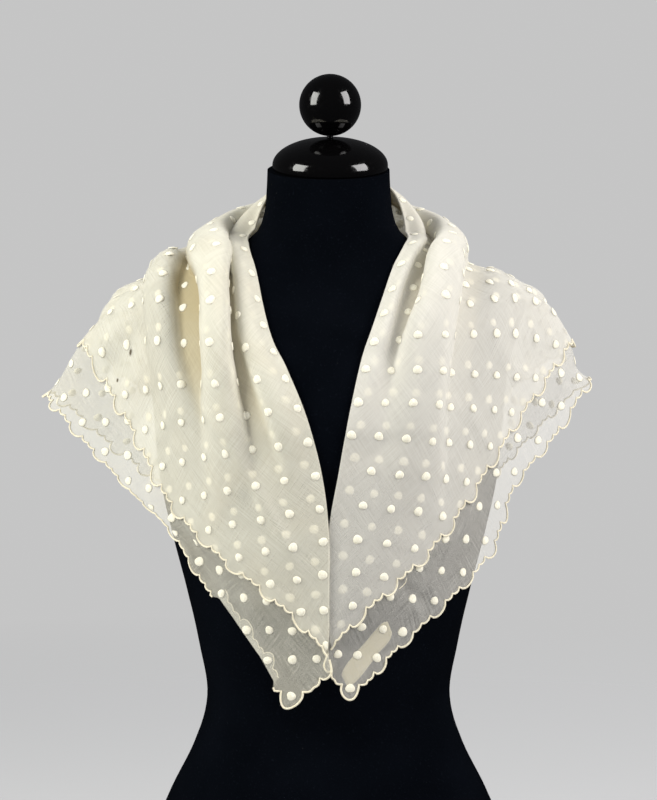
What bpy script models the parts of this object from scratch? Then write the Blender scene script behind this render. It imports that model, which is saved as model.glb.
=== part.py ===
"""A scalloped muslin fichu, folded near its diagonal and worn on a limbless dress form.

Everything is in metres with +Z up. The origin is the centre of the form's flat
underside, and the wearer's front faces -Y. Tables are in millimetres.
"""
import math

import bmesh
import bpy
from mathutils import Matrix, Vector

MM = 0.001

# The flat square, as it was cut. u runs along the fold, v away from it.
DOT_STEP = 27.58            # between neighbouring dots, along the fold and across it
PERIODS = 21                # dot steps from the apex to an end corner
CORNER_MARGIN = 12.8        # from a corner dot to the corner of the cloth
HALF_DIAGONAL = DOT_STEP * PERIODS + CORNER_MARGIN
FOLD_OFFSET = 1.5 * DOT_STEP                    # fold line to the square's diagonal
HALF_FOLD = HALF_DIAGONAL - FOLD_OFFSET         # centre back to a tip of the fold
TIP_ROUNDING = 13.0                             # how far the tip of the fold is rounded off
SCALLOP_DEPTH = 5.5

# The cloth's walls.
WALL = 1.2
LAYER_GAP = 0.7
FOLD_SEAM_GAP = 0.5
SET_BACK_REACH = 14.0       # how far in from the fold the under layer makes room for it
FORM_CLEARANCE = 1.5        # from the form to the inside of the under layer
CHORD_CLEARANCE = 1.0       # the same, half way between two points of the cloth

# Rows of the cloth grid, counted from the fold.
PLEAT_ROWS = 11
PLEAT_ROW_STEP = 10.0
OUTER_ROWS = 4
STRIP_ROWS = 2
CORNER_COLUMNS = 3
CORNER_STOP = 0.35          # part of a column's step left between the last one and the edge
GUIDE_STEPS = 10            # points from one guide point of a column to the next
ROLL_TURNS = (180, 120, 60)     # degrees round the fold edge, from the inside out

# How the cloth is moved clear of the form.
PUSH_LIMIT = 12.0           # the furthest that a point moves at once
PUSH_TRIES = 6
PUSH_NEAR = 0.01            # close enough to the wanted clearance
CHORD_TRIES = 5
CHORD_SHARES = (0.25, 0.5, 0.75)
CHORD_OVERSHOOT = 1.6

# The form: level, half width, depth in front of and behind its axis.
FORM_SECTIONS = (
    (0, 168, 108, 120),
    (60, 165, 106, 118),
    (108, 147, 99, 108),
    (160, 122, 90, 92),
    (200, 112, 87, 82),
    (245, 119, 91, 83),
    (290, 129, 100, 87),
    (345, 143, 113, 93),
    (400, 155, 122, 97),
    (450, 160, 126, 100),
    (500, 165, 117, 102),
    (540, 175, 99, 100),
    (558, 181, 86, 94),
    (572, 170, 77, 87),
    (585, 148, 70, 80),
    (597, 115, 65, 74),
    (610, 86, 61, 69),
    (625, 66, 58, 64),
    (642, 59, 56, 60),
    (660, 57, 55, 57),
    (682, 56, 55, 55),
)
FORM_SIDES = 40
FORM_TALL_SPAN = 30         # sections further apart than this get a ring between them
NECK_TILT = math.radians(11)
NECK_TILT_START = 625

# The cloth hangs straight down from the fullest level of the form.
HANG_LEVEL_FRONT = 450
HANG_LEVEL_BACK = 500
HANG_TAPER = 0.045          # how far the hanging cloth leans back in, per unit of drop

# Cap and finial, along the neck's axis.
CAP_RADIUS = 53.0
CAP_HEIGHT = 29.0
CAP_RIM = 4.0
STEM_RADIUS = 3.0
STEM_HEIGHT = 1.5
BALL_RADIUS = 28.3
CAP_OFFSET = 1.5            # the cap sits a little to one side of the neck's middle
CAP_FLAT = 1.5              # the cap's flat top reaches this far past the stem
STEM_WAIST = 0.4
BALL_SEAT = 2.6             # radius of the ball's flat seat
SEAT_GAP = 0.3
MERGE_DISTANCE = 0.02

# Faces of the turned pieces, round their axis and up their profile.
CAP_SIDES = 32
CAP_RINGS = 8
STEM_SIDES = 20
BALL_SIDES = 24
BALL_RINGS = 12

# Where the cloth lies: for each place u along the fold, the fold edge, two points
# on the way over the form, the upper layer's hem and the under layer's hem.
DRAPE = (
    # u,    fold,              near,              far,               upper hem,         under hem
    (-550, (-1.7, -124, 251), (-1.7, -124, 251), (-1.7, -124, 251), (-1.7, -124, 251), (-73, -112, 248)),
    (-500, (-1.7, -127, 303), (-16, -127, 301), (-32, -125, 299), (-49, -121, 296), (-110, -93, 301)),
    (-450, (-1.7, -128, 356), (-33, -128, 350), (-66, -119, 343), (-100, -100, 336), (-145, -64, 354)),
    (-400, (-6, -128, 407), (-51, -124, 399), (-100, -101, 389), (-145, -67, 378), (-187, -37, 394)),
    (-350, (-19, -124, 459), (-70, -116, 452), (-124, -85, 443), (-176, -41, 432), (-229, -12, 434)),
    (-300, (-37, -114, 503), (-92, -104, 502), (-154, -60, 498), (-207, -18, 485), (-264, 14, 470)),
    (-263, (-52, -100, 534), (-108, -84, 548), (-188, -24, 552), (-230, 4, 521), (-254, 38, 466)),
    (-200, (-64, -66, 583), (-118, -42, 592), (-195, 16, 564), (-190, 54, 484), (-200, 82, 413)),
    (-132, (-69, -4, 622), (-126, 25, 600), (-166, 60, 536), (-130, 94, 436), (-136, 111, 360)),
    (-60, (-49, 48, 666), (-70, 82, 600), (-80, 104, 490), (-63, 116, 369), (-61, 125, 290)),
    (0, (0, 76, 676), (0, 92, 604), (0, 108, 480), (0, 122, 312), (0, 128, 234)),
    (60, (54, 48, 669), (72, 82, 602), (80, 104, 490), (63, 116, 369), (61, 125, 290)),
    (132, (71, 0, 626), (126, 25, 598), (166, 60, 534), (130, 94, 436), (136, 111, 360)),
    (200, (57, -60, 589), (112, -42, 592), (194, 16, 563), (182, 60, 482), (174, 88, 408)),
    (263, (41, -100, 544), (102, -84, 552), (189, -22, 556), (224, 12, 518), (214, 48, 456)),
    (300, (30, -113, 512), (90, -101, 512), (156, -58, 507), (210, -14, 500), (247, 14, 489)),
    (350, (19, -123, 464), (72, -114, 462), (124, -85, 456), (172, -43, 449), (213, -17, 440)),
    (400, (10, -128, 413), (55, -123, 408), (97, -103, 402), (136, -75, 394), (173, -44, 395)),
    (450, (2.2, -128, 361), (35, -127, 356), (65, -119, 351), (97, -102, 344), (152, -57, 336)),
    (500, (2, -127, 308), (17, -127, 306), (33, -125, 304), (50, -121, 300), (108, -94, 292)),
    (550, (2, -124, 256), (2, -124, 256), (2, -124, 256), (2, -124, 256), (59, -112, 249)),
)
# The under layer's short ends, from the tip of the fold to the square's corner.
SHORT_ENDS = {
    -1: ((-4, -122, 232), (-22, -121, 217), (-38, -119, 201)),
    1: ((4, -122, 237), (10, -121, 224), (19, -120, 209)),
}

# Folds that run beside the fold edge. side -1 is the left of the photo. The place is
# the distance from the fold edge, first beside the neck, then on the chest.
PLEATS = (
    # name,            side, place, chest place, width, chest width, height, lean, end
    ("fold band", -1, 8, 14, 11, 14, 6.5, 0.0, 420),
    ("second roll", -1, 40, 62, 14, 24, 18.0, -4.0, 410),
    ("third roll", -1, 74, 106, 14, 22, 13.0, 0.0, 370),
    ("fold band", 1, 8, 12, 11, 14, 6.0, 0.0, 400),
    ("second roll", 1, 45, 66, 19, 28, 18.0, -7.0, 400),
    ("third roll", 1, 92, 120, 18, 26, 4.0, 0.0, 340),
)
BACK_BLEND = 75             # the two sides' pleats run into each other behind the neck
PLEAT_FADE = 160            # length over which a pleat dies away
NECK_PLACE = 140            # u where a pleat has its place beside the neck
CHEST_PLACE = 300           # u where it has its place on the chest
SPREAD_LIMITS = (-0.4, 1.5)     # how far a pleat's place runs on past those two


def clear_scene():
    """Remove whatever is in the file."""
    for thing in list(bpy.data.objects):
        bpy.data.objects.remove(thing, do_unlink=True)


def smooth_step(low, high, value):
    """0 below low, 1 above high, smooth between."""
    share = min(1.0, max(0.0, (value - low) / (high - low)))
    return share * share * (3.0 - 2.0 * share)


def table_row(table, place):
    """Index of the table row at or before place, and the share of the way to the next."""
    last = len(table) - 2
    index = 0
    while index < last and place > table[index + 1][0]:
        index += 1
    low = table[index][0]
    high = table[index + 1][0]
    return index, min(1.0, max(0.0, (place - low) / (high - low)))


def cubic(values, share):
    """Catmull-Rom curve through four values, between the middle two."""
    a, b, c, d = values
    return 0.5 * (2.0 * b + (c - a) * share + (2.0 * a - 5.0 * b + 4.0 * c - d) * share ** 2
                  + (3.0 * b - a - 3.0 * c + d) * share ** 3)


def form_section(level):
    """Half width, front depth and back depth of the form at a level."""
    index, share = table_row(FORM_SECTIONS, level)
    last = len(FORM_SECTIONS) - 1
    rows = [FORM_SECTIONS[min(last, max(0, index + k))] for k in (-1, 0, 1, 2)]
    return [cubic([row[column] for row in rows], share) for column in (1, 2, 3)]


def support_ratio(x, y, z):
    """How far out a point lies, 1 on the surface that the cloth rests on or hangs from."""
    hang = HANG_LEVEL_FRONT if y < 0 else HANG_LEVEL_BACK
    width, front, back = form_section(max(z, hang))
    depth = front if y < 0 else back
    drop = max(0.0, hang - z) * HANG_TAPER
    return math.hypot(x / (width - drop), y / (depth - drop))


def distance_out(point):
    """How far a point is from the support surface, and the way straight out."""
    probe = 0.5
    here = support_ratio(*point)
    slope = Vector((
        support_ratio(point.x + probe, point.y, point.z) - here,
        support_ratio(point.x, point.y + probe, point.z) - here,
        support_ratio(point.x, point.y, point.z + probe) - here,
    )) / probe
    return (here - 1.0) / slope.length, slope.normalized()


def push_out(point, clearance):
    """Move a point straight out until it is clear of the support surface."""
    point = Vector(point)
    for _ in range(PUSH_TRIES):
        distance, out = distance_out(point)
        if distance >= clearance - PUSH_NEAR:
            break
        point += out * min(clearance - distance, PUSH_LIMIT)
    return point


def lift_chords(grid, clearance):
    """Move points out where the flat faces between them would cut into the form."""
    steps = ((0, 1), (1, 0), (1, 1), (1, -1))
    for _ in range(CHORD_TRIES):
        for index, column in enumerate(grid):
            for row, point in enumerate(column):
                for along, across in steps:
                    if index + along >= len(grid) or not 0 <= row + across < len(column):
                        continue
                    other = grid[index + along][row + across]
                    for share in CHORD_SHARES:
                        distance, out = distance_out(point.lerp(other, share))
                        if distance < clearance:
                            move = out * (clearance - distance) * CHORD_OVERSHOOT
                            point += move * (1.0 - share)
                            other += move * share


def drape_points(u):
    """The five guide points of the cloth at u, read smoothly from the table."""
    index, share = table_row(DRAPE, u)
    picks = [min(len(DRAPE) - 1, max(0, index + k)) for k in (-1, 0, 1, 2)]
    guides = []
    for column in range(1, 6):
        rows = [Vector(DRAPE[k][column]) for k in picks]
        guides.append(Vector([cubic([row[axis] for row in rows], share) for axis in range(3)]))
    return guides


def slope_at(points, index):
    """Direction of a smooth line at one of its guide points, shorter at a sharp turn."""
    before = points[max(0, index - 1)]
    after = points[min(len(points) - 1, index + 1)]
    reach = (points[index] - before).length + (after - points[index]).length
    return (after - before) / max(reach, 1e-6)


def guide_curve(guides):
    """A fine smooth line through the guide points, and the place of each in it."""
    line = []
    marks = []
    for index in range(len(guides) - 1):
        start = guides[index]
        end = guides[index + 1]
        span = (end - start).length
        leave = slope_at(guides, index) * span
        arrive = slope_at(guides, index + 1) * span
        marks.append(len(line))
        for step in range(GUIDE_STEPS):
            t = step / GUIDE_STEPS
            line.append(start * (2 * t ** 3 - 3 * t ** 2 + 1) + leave * (t ** 3 - 2 * t ** 2 + t)
                        + end * (3 * t ** 2 - 2 * t ** 3) + arrive * (t ** 3 - t ** 2))
    marks.append(len(line))
    line.append(guides[-1].copy())
    return line, marks


def lengths_along(line):
    """Running length at each point of a line."""
    total = [0.0]
    for before, after in zip(line, line[1:]):
        total.append(total[-1] + (after - before).length)
    return total


def point_at(line, total, length):
    """The point a given length along a line."""
    index = 0
    while index < len(total) - 2 and total[index + 1] < length:
        index += 1
    span = max(1e-6, total[index + 1] - total[index])
    share = min(1.0, max(0.0, (length - total[index]) / span))
    return line[index].lerp(line[index + 1], share)


def base_column(u, clearance):
    """The cloth's line at u without pleats, and the lengths to its two hems."""
    line, marks = guide_curve(drape_points(u))
    line = [push_out(point, clearance) for point in line]
    total = lengths_along(line)
    return line, total, total[marks[3]], total[marks[4]]


def pleat_offset(u, place):
    """Height off the base surface and lean along it, from the table of pleats."""
    height = 0.0
    lean = 0.0
    along = abs(u)
    right = smooth_step(-BACK_BLEND, BACK_BLEND, u)
    for _, side, near, chest, width, chest_width, rise, tip, end in PLEATS:
        spread = (along - NECK_PLACE) / (CHEST_PLACE - NECK_PLACE)
        spread = min(SPREAD_LIMITS[1], max(SPREAD_LIMITS[0], spread))
        centre = near + (chest - near) * spread
        reach = width + (chest_width - width) * spread
        off = (place - centre) / reach
        if abs(off) >= 1.0:
            continue
        fade = 1.0 - smooth_step(end - PLEAT_FADE, end, along)
        fade *= right if side > 0 else 1.0 - right
        bump = math.cos(0.5 * math.pi * off) ** 2 * fade
        height += rise * bump
        lean += tip * bump
    return height, lean


def scallop(u):
    """How far the hem is drawn in at u: nothing at a lobe, the whole depth at a notch."""
    return SCALLOP_DEPTH * (0.5 - 0.5 * math.cos(2.0 * math.pi * u / DOT_STEP))


def row_places(upper, under):
    """Distances of the grid rows from the fold edge, for hems at these lengths."""
    step = min(PLEAT_ROW_STEP, upper / (PLEAT_ROWS + OUTER_ROWS))
    places = [row * step for row in range(PLEAT_ROWS + 1)]
    reach = places[-1]
    places += [reach + (upper - reach) * row / OUTER_ROWS for row in range(1, OUTER_ROWS + 1)]
    places += [upper + (under - upper) * row / STRIP_ROWS for row in range(1, STRIP_ROWS + 1)]
    return places


def cloth_grid():
    """Points of the reference surface, a list of columns from the left tip to the right."""
    clearance = FORM_CLEARANCE + WALL + 0.5 * LAYER_GAP
    count = int(HALF_FOLD / (0.5 * DOT_STEP)) - 1
    tip = HALF_FOLD - TIP_ROUNDING
    stations = [-tip] + [0.5 * DOT_STEP * k for k in range(-count, count + 1)] + [tip]
    columns = []
    tables = []
    for u in stations:
        line, total, upper, under = base_column(u, clearance)
        drawn_in = scallop(u)
        places = row_places(upper - drawn_in, under - drawn_in)
        columns.append([point_at(line, total, place) for place in places])
        tables.append(places)
    return stations, columns, tables, clearance


def add_pleats(stations, columns, tables, clearance):
    """Raise the pleats from the base surface."""
    normals = grid_normals(columns)
    raised = []
    for index, column in enumerate(columns):
        line = []
        for row, point in enumerate(column):
            height, lean = pleat_offset(stations[index], tables[index][row])
            if height == 0.0:
                line.append(point.copy())
                continue
            across = column[min(len(column) - 1, row + 1)] - column[max(0, row - 1)]
            moved = point + normals[index][row] * height + across.normalized() * lean
            line.append(push_out(moved, clearance))
        raised.append(line)
    return raised


def grid_normals(grid):
    """Outward directions at the grid's points."""
    normals = []
    last = len(grid) - 1
    for index, column in enumerate(grid):
        before = grid[max(0, index - 1)]
        after = grid[min(last, index + 1)]
        line = []
        for row in range(len(column)):
            along = after[row] - before[row]
            across = column[min(len(column) - 1, row + 1)] - column[max(0, row - 1)]
            line.append(along.cross(across).normalized())
        normals.append(line)
    return normals


def even_normals(grid):
    """The same directions, evened out between neighbours in a column."""
    evened = []
    for line in grid_normals(grid):
        last = len(line) - 1
        evened.append([
            (line[max(0, row - 1)] + 2.0 * line[row] + line[min(last, row + 1)]).normalized()
            for row in range(len(line))
        ])
    return evened


def end_columns(grid, normals, side):
    """The under layer past the tip of the fold, drawn together to the square's corner."""
    place = 0 if side < 0 else -1
    tip = grid[place]
    total = lengths_along(tip)
    shares = [length / total[-1] for length in total]
    edge = [tip[0]] + [Vector(point) for point in SHORT_ENDS[side]]
    edge_total = lengths_along(edge)
    ends = []
    for step in range(1, CORNER_COLUMNS + 1):
        along = step / (CORNER_COLUMNS + CORNER_STOP)
        start = point_at(edge, edge_total, along * edge_total[-1])
        end = tip[-1].lerp(edge[-1], along)
        column = []
        for point, share in zip(tip, shares):
            bulge = point - tip[0].lerp(tip[-1], share)
            column.append(start.lerp(end, share) + bulge * (1.0 - along))
        ends.append(column)
    return ends, [normals[place]] * CORNER_COLUMNS


def moved_grid(grid, normals, distance):
    """The grid moved out along its normals."""
    return [[point + out * distance for point, out in zip(column, line)]
            for column, line in zip(grid, normals)]


def fold_roll(reference, normals, radius):
    """Rows that carry the upper layer's wall round the fold edge, at one radius."""
    rows = []
    for column, line in zip(reference, normals):
        out = line[0]
        inward = (column[1] - column[0]).normalized()
        turns = []
        for degrees in ROLL_TURNS:
            angle = math.radians(degrees)
            turns.append(column[0] + (out * math.cos(angle) - inward * math.sin(angle)) * radius)
        rows.append(turns)
    return rows


def set_back_fold(grid, distance):
    """Draw the under layer's first rows back from the roll of the fold."""
    drawn = []
    for column in grid:
        total = lengths_along(column)
        line = []
        for point, place in zip(column, total):
            shift = distance * max(0.0, 1.0 - place / SET_BACK_REACH)
            line.append(point_at(column, total, place + shift) if shift > 0.0 else point)
        drawn.append(line)
    return drawn


def sheet_faces(mesh, columns, ends, turned_over):
    """One side of a wall as triangles; returns its rows of vertices, ends included."""
    nodes = [[mesh.verts.new(point * MM) for point in column] for column in columns]
    strips = [(nodes[k], nodes[k + 1]) for k in range(len(nodes) - 1)]
    first, last = nodes[0], nodes[-1]
    for side, extra in ends.items():
        before = (first if side < 0 else last)[-len(extra[0]):]
        for column in extra:
            after = [mesh.verts.new(point * MM) for point in column]
            strips.append((before, after) if side > 0 else (after, before))
            nodes.append(after)
            before = after
    for left, right in strips:
        for row in range(len(left) - 1):
            for loop in ((left[row], right[row], right[row + 1]),
                         (left[row], right[row + 1], left[row + 1])):
                mesh.faces.new(loop[::-1] if turned_over else loop)
    return nodes


def wall_mesh(outer, inner, outer_ends=None, inner_ends=None):
    """A closed wall between an outer and an inner sheet of the same rows."""
    mesh = bmesh.new()
    near = sheet_faces(mesh, outer, outer_ends or {}, False)
    rim = [edge for edge in mesh.edges if len(edge.link_faces) == 1]
    loops = [[vert for vert in edge.link_faces[0].verts if vert in edge.verts] for edge in rim]
    far = sheet_faces(mesh, inner, inner_ends or {}, True)
    partner = {a: b for left, right in zip(near, far) for a, b in zip(left, right)}
    for first, second in loops:
        mesh.faces.new((first, second, partner[second], partner[first]))
    bmesh.ops.recalc_face_normals(mesh, faces=mesh.faces)
    return mesh


def make_material(name, colour, roughness, metallic=0.0):
    """A plain Principled material."""
    material = bpy.data.materials.new(name)
    material.use_nodes = True
    shader = material.node_tree.nodes["Principled BSDF"]
    shader.inputs["Base Color"].default_value = (*colour, 1.0)
    shader.inputs["Roughness"].default_value = roughness
    shader.inputs["Metallic"].default_value = metallic
    return material


def place_mesh(name, mesh, material):
    """Turn a bmesh into a named object."""
    data = bpy.data.meshes.new(name)
    mesh.to_mesh(data)
    mesh.free()
    data.shade_smooth()
    data.materials.append(material)
    thing = bpy.data.objects.new(name, data)
    bpy.context.scene.collection.objects.link(thing)
    return thing


def build_fichu(muslin):
    """Both layers of the folded square."""
    stations, columns, tables, clearance = cloth_grid()
    reference = add_pleats(stations, columns, tables, clearance)
    lift_chords(reference, clearance - FORM_CLEARANCE + CHORD_CLEARANCE)
    normals = even_normals(reference)
    near = 0.5 * LAYER_GAP
    far = near + WALL
    rows = PLEAT_ROWS + OUTER_ROWS + 1
    sides = []
    for radius in (far, near):
        roll = fold_roll(reference, normals, radius)
        flat = moved_grid(reference, normals, radius)
        sides.append([turns + column[:rows] for turns, column in zip(roll, flat)])
    place_mesh("fichu_upper_layer", wall_mesh(sides[0], sides[1]), muslin)
    sides = []
    corners = []
    for radius in (near, far):
        sides.append(set_back_fold(moved_grid(reference, normals, -radius), FOLD_SEAM_GAP))
        ends = {side: moved_grid(*end_columns(reference, normals, side), -radius) for side in (-1, 1)}
        corners.append(ends)
    under = wall_mesh(sides[0], sides[1], corners[0], corners[1])
    place_mesh("fichu_under_layer", under, muslin)


def form_ring(level):
    """Points of the form's outline at a level, tilted towards the front at the neck."""
    width, front, back = form_section(level)
    tilt = math.tan(NECK_TILT) * smooth_step(NECK_TILT_START, FORM_SECTIONS[-1][0], level)
    ring = []
    for side in range(FORM_SIDES):
        angle = 2.0 * math.pi * side / FORM_SIDES
        x = width * math.cos(angle)
        y = (back if math.sin(angle) > 0 else front) * math.sin(angle)
        ring.append(Vector((x, y, level + y * tilt)) * MM)
    return ring


def form_levels():
    """Levels of the form's rings above its underside, closer where it is shaped most."""
    levels = []
    for low, high in zip(FORM_SECTIONS, FORM_SECTIONS[1:]):
        rings = 2 if high[0] - low[0] > FORM_TALL_SPAN else 1
        levels += [low[0] + (high[0] - low[0]) * ring / rings for ring in range(1, rings + 1)]
    return levels


def build_form(jersey):
    """The torso and neck, one closed solid with a flat underside."""
    mesh = bmesh.new()
    circle = bmesh.ops.create_circle(mesh, segments=FORM_SIDES, radius=1.0, cap_ends=False)
    ring = sorted(circle["verts"], key=lambda vert: math.atan2(vert.co.y, vert.co.x) % (2.0 * math.pi))
    for vert, place in zip(ring, form_ring(FORM_SECTIONS[0][0])):
        vert.co = place
    mesh.faces.new(ring)
    for level in form_levels():
        new_ring = [mesh.verts.new(place) for place in form_ring(level)]
        for side in range(FORM_SIDES):
            after = (side + 1) % FORM_SIDES
            mesh.faces.new((ring[side], ring[after], new_ring[after], new_ring[side]))
        ring = new_ring
    mesh.faces.new(ring)
    bmesh.ops.recalc_face_normals(mesh, faces=mesh.faces)
    place_mesh("form_body", mesh, jersey)


def turned(name, profile, material, sides):
    """A solid turned about the neck's axis from its profile of radius and height."""
    mesh = bmesh.new()
    points = [mesh.verts.new((radius * MM, 0.0, height * MM)) for radius, height in profile]
    edges = [mesh.edges.new(pair) for pair in zip(points, points[1:])]
    bmesh.ops.spin(mesh, geom=points + edges, cent=(0, 0, 0), axis=(0, 0, 1), angle=2.0 * math.pi,
                   steps=sides, use_merge=True)
    bmesh.ops.remove_doubles(mesh, verts=mesh.verts, dist=MERGE_DISTANCE * MM)
    bmesh.ops.recalc_face_normals(mesh, faces=mesh.faces)
    level = FORM_SECTIONS[-1][0] * MM
    place = Matrix.Translation((CAP_OFFSET * MM, 0, level)) @ Matrix.Rotation(NECK_TILT, 4, "X")
    bmesh.ops.transform(mesh, matrix=place, verts=mesh.verts)
    return place_mesh(name, mesh, material)


def build_cap(lacquer):
    """Dome cap, stem and ball, each seated on the one below."""
    floor = SEAT_GAP
    dome = [(0.0, floor), (CAP_RADIUS, floor), (CAP_RADIUS, floor + CAP_RIM)]
    top_radius = STEM_RADIUS + CAP_FLAT
    for ring in range(1, CAP_RINGS + 1):
        angle = 0.5 * math.pi * ring / CAP_RINGS
        radius = CAP_RADIUS * math.cos(angle)
        if radius < top_radius:
            break
        dome.append((radius, floor + CAP_RIM + (CAP_HEIGHT - CAP_RIM) * math.sin(angle)))
    top = floor + CAP_HEIGHT
    dome += [(top_radius, top), (0.0, top)]
    turned("neck_cap", dome, lacquer, CAP_SIDES)
    foot = top + SEAT_GAP
    head = foot + STEM_HEIGHT
    stem = [(0.0, foot), (STEM_RADIUS, foot), (STEM_RADIUS - STEM_WAIST, 0.5 * (foot + head)),
            (STEM_RADIUS, head), (0.0, head)]
    turned("finial_stem", stem, lacquer, STEM_SIDES)
    seat = head + SEAT_GAP
    start = math.asin(BALL_SEAT / BALL_RADIUS)
    centre = seat + BALL_RADIUS * math.cos(start)
    ball = [(0.0, seat)]
    for ring in range(BALL_RINGS):
        angle = start + (math.pi - start) * ring / BALL_RINGS
        ball.append((BALL_RADIUS * math.sin(angle), centre - BALL_RADIUS * math.cos(angle)))
    ball.append((0.0, centre + BALL_RADIUS))
    turned("finial_ball", ball, lacquer, BALL_SIDES)


def main():
    """Build the whole object."""
    clear_scene()
    muslin = make_material("muslin", (0.78, 0.74, 0.65), 0.9)
    jersey = make_material("jersey", (0.010, 0.011, 0.014), 0.9)
    lacquer = make_material("lacquer", (0.004, 0.004, 0.005), 0.12)
    build_form(jersey)
    build_cap(lacquer)
    build_fichu(muslin)


main()
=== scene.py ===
# %% [markdown]
# A fichu is a light kerchief worn round the neck and shoulders. This one is a square of
# sheer cream muslin with raised dots and a scalloped, buttonhole-stitched edge. It is
# folded near its diagonal and lies on a limbless dress form with a lacquered cap. The
# solid model of the object is loaded first, because every piece below is made in its
# frame: metres, +Z up, the wearer's front towards -Y.
# %% Open the model
import math
import random

import bmesh
import bpy
import numpy as np
from mathutils import Matrix, Vector, noise


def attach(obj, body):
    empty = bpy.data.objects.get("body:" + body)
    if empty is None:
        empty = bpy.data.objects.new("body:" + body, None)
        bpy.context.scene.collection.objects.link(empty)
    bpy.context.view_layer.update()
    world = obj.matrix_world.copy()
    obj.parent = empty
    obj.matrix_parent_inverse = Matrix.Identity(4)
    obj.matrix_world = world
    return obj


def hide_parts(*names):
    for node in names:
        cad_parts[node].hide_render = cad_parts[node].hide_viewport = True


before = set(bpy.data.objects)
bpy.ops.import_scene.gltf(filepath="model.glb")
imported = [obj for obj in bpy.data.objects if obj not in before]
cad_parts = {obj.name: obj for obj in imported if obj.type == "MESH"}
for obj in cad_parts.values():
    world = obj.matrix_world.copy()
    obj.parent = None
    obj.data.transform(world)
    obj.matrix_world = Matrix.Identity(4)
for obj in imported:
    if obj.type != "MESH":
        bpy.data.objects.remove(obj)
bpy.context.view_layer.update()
MM = 0.001
print("nodes:", ", ".join(sorted(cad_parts)))

# %% [markdown]
# The camera stands in front of the chest, a little above it, and looks slightly down. A
# long lens keeps the shoulders from looking large. The framing is given by the real
# height that one pixel of the picture covers at the axis of the form, and from that the
# focal length follows. A guess at the lens would have worked too, but it could not be
# checked against the known sizes.
# %% Camera
PICTURE_SIZE = (657, 800)
CAMERA_DISTANCE = 2.8
CAMERA_DOWN = math.radians(3)
METRES_PER_PIXEL = 0.00092
AIM = Vector((0.0, 0.0, 0.4706))
SENSOR = 36.0


def add_camera():
    """The camera at the viewing angle of the picture."""
    data = bpy.data.cameras.new("photo_camera")
    data.sensor_fit = "VERTICAL"
    data.sensor_height = SENSOR
    data.lens = SENSOR * CAMERA_DISTANCE / (PICTURE_SIZE[1] * METRES_PER_PIXEL)
    camera = bpy.data.objects.new("photo_camera", data)
    look = Vector((0.0, math.cos(CAMERA_DOWN), -math.sin(CAMERA_DOWN)))
    camera.location = AIM - look * CAMERA_DISTANCE
    camera.rotation_euler = (0.5 * math.pi - CAMERA_DOWN, 0.0, 0.0)
    bpy.context.scene.collection.objects.link(camera)
    bpy.context.scene.camera = camera
    return camera


camera = add_camera()
print("lens:", round(camera.data.lens, 1), "mm")

# %% [markdown]
# Small helpers come next. A finished mesh becomes a named object that rides on the one
# body of the model and carries the material it is given. Materials are built from nodes,
# so a helper wires them without repeating the same three lines.
# %% Helpers for pieces
def finished(name, mesh, material):
    """Turn a bmesh into a piece of the object."""
    data = bpy.data.meshes.new(name)
    mesh.to_mesh(data)
    mesh.free()
    data.shade_smooth()
    data.materials.append(material)
    piece = bpy.data.objects.new(name, data)
    bpy.context.scene.collection.objects.link(piece)
    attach(piece, "root")
    print(name, "has", len(data.polygons), "faces")
    return piece


def unit(vectors):
    """The same directions, each with length 1."""
    return vectors / np.maximum(np.linalg.norm(vectors, axis=-1), 1e-9)[..., None]


def smooth_step(low, high, value):
    """0 below low, 1 above high, smooth between; works on arrays."""
    share = np.clip((value - low) / (high - low), 0.0, 1.0)
    return share * share * (3.0 - 2.0 * share)


def smooth_rows(table, places):
    """A smooth curve through the rows of a table, whose first column is the place."""
    table = np.asarray(table, float)
    marks = table[:, 0]
    last = len(marks) - 1
    places = np.asarray(places, float)
    index = np.clip(np.searchsorted(marks, places, side="right") - 1, 0, last - 1)
    span = marks[index + 1] - marks[index]
    share = np.clip((places - marks[index]) / span, 0.0, 1.0)[..., None]
    a, b, c, d = (table[np.clip(index + step, 0, last), 1:] for step in (-1, 0, 1, 2))
    return 0.5 * (2 * b + (c - a) * share + (2 * a - 5 * b + 4 * c - d) * share ** 2
                  + (3 * b - a - 3 * c + d) * share ** 3)


# %% Helpers for materials
def node(tree, kind, **settings):
    """Add a shader node; a setting that names a socket is its value or its source."""
    made = tree.nodes.new(kind)
    for key, value in settings.items():
        if hasattr(made, key):
            setattr(made, key, value)
            continue
        socket = made.inputs[int(key[1:])] if key[0] == "i" and key[1:].isdigit() \
            else made.inputs[key.replace("_", " ")]
        if isinstance(value, bpy.types.NodeSocket):
            tree.links.new(value, socket)
        else:
            socket.default_value = value
    return made


def new_material(name, colour, roughness, **shine):
    """A Principled material; returns it with its tree and its shader."""
    material = bpy.data.materials.new(name)
    material.use_nodes = True
    tree = material.node_tree
    shader = tree.nodes["Principled BSDF"]
    shader.inputs["Base Color"].default_value = (*colour, 1.0)
    shader.inputs["Roughness"].default_value = roughness
    for key, value in shine.items():
        shader.inputs[key.replace("_", " ")].default_value = value
    return material, tree, shader


def mixed(tree, factor, first, second):
    """Colour between two others."""
    mix = node(tree, "ShaderNodeMix", data_type="RGBA")
    tree.links.new(factor, mix.inputs[0])
    for socket, value in ((mix.inputs[6], first), (mix.inputs[7], second)):
        if isinstance(value, bpy.types.NodeSocket):
            tree.links.new(value, socket)
        else:
            socket.default_value = (*value, 1.0)
    return mix.outputs[2]


def ranged(tree, value, span, result=(0.0, 1.0)):
    """Stretch a value from one span to another, clamped at both ends."""
    made = node(tree, "ShaderNodeMapRange", Value=value, From_Min=span[0], From_Max=span[1],
                To_Min=result[0], To_Max=result[1])
    return made.outputs[0]


def combined(tree, operation, first, second=0.0):
    """One step of arithmetic, on two values or on the first alone."""
    return node(tree, "ShaderNodeMath", operation=operation, i0=first, i1=second).outputs[0]


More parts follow.
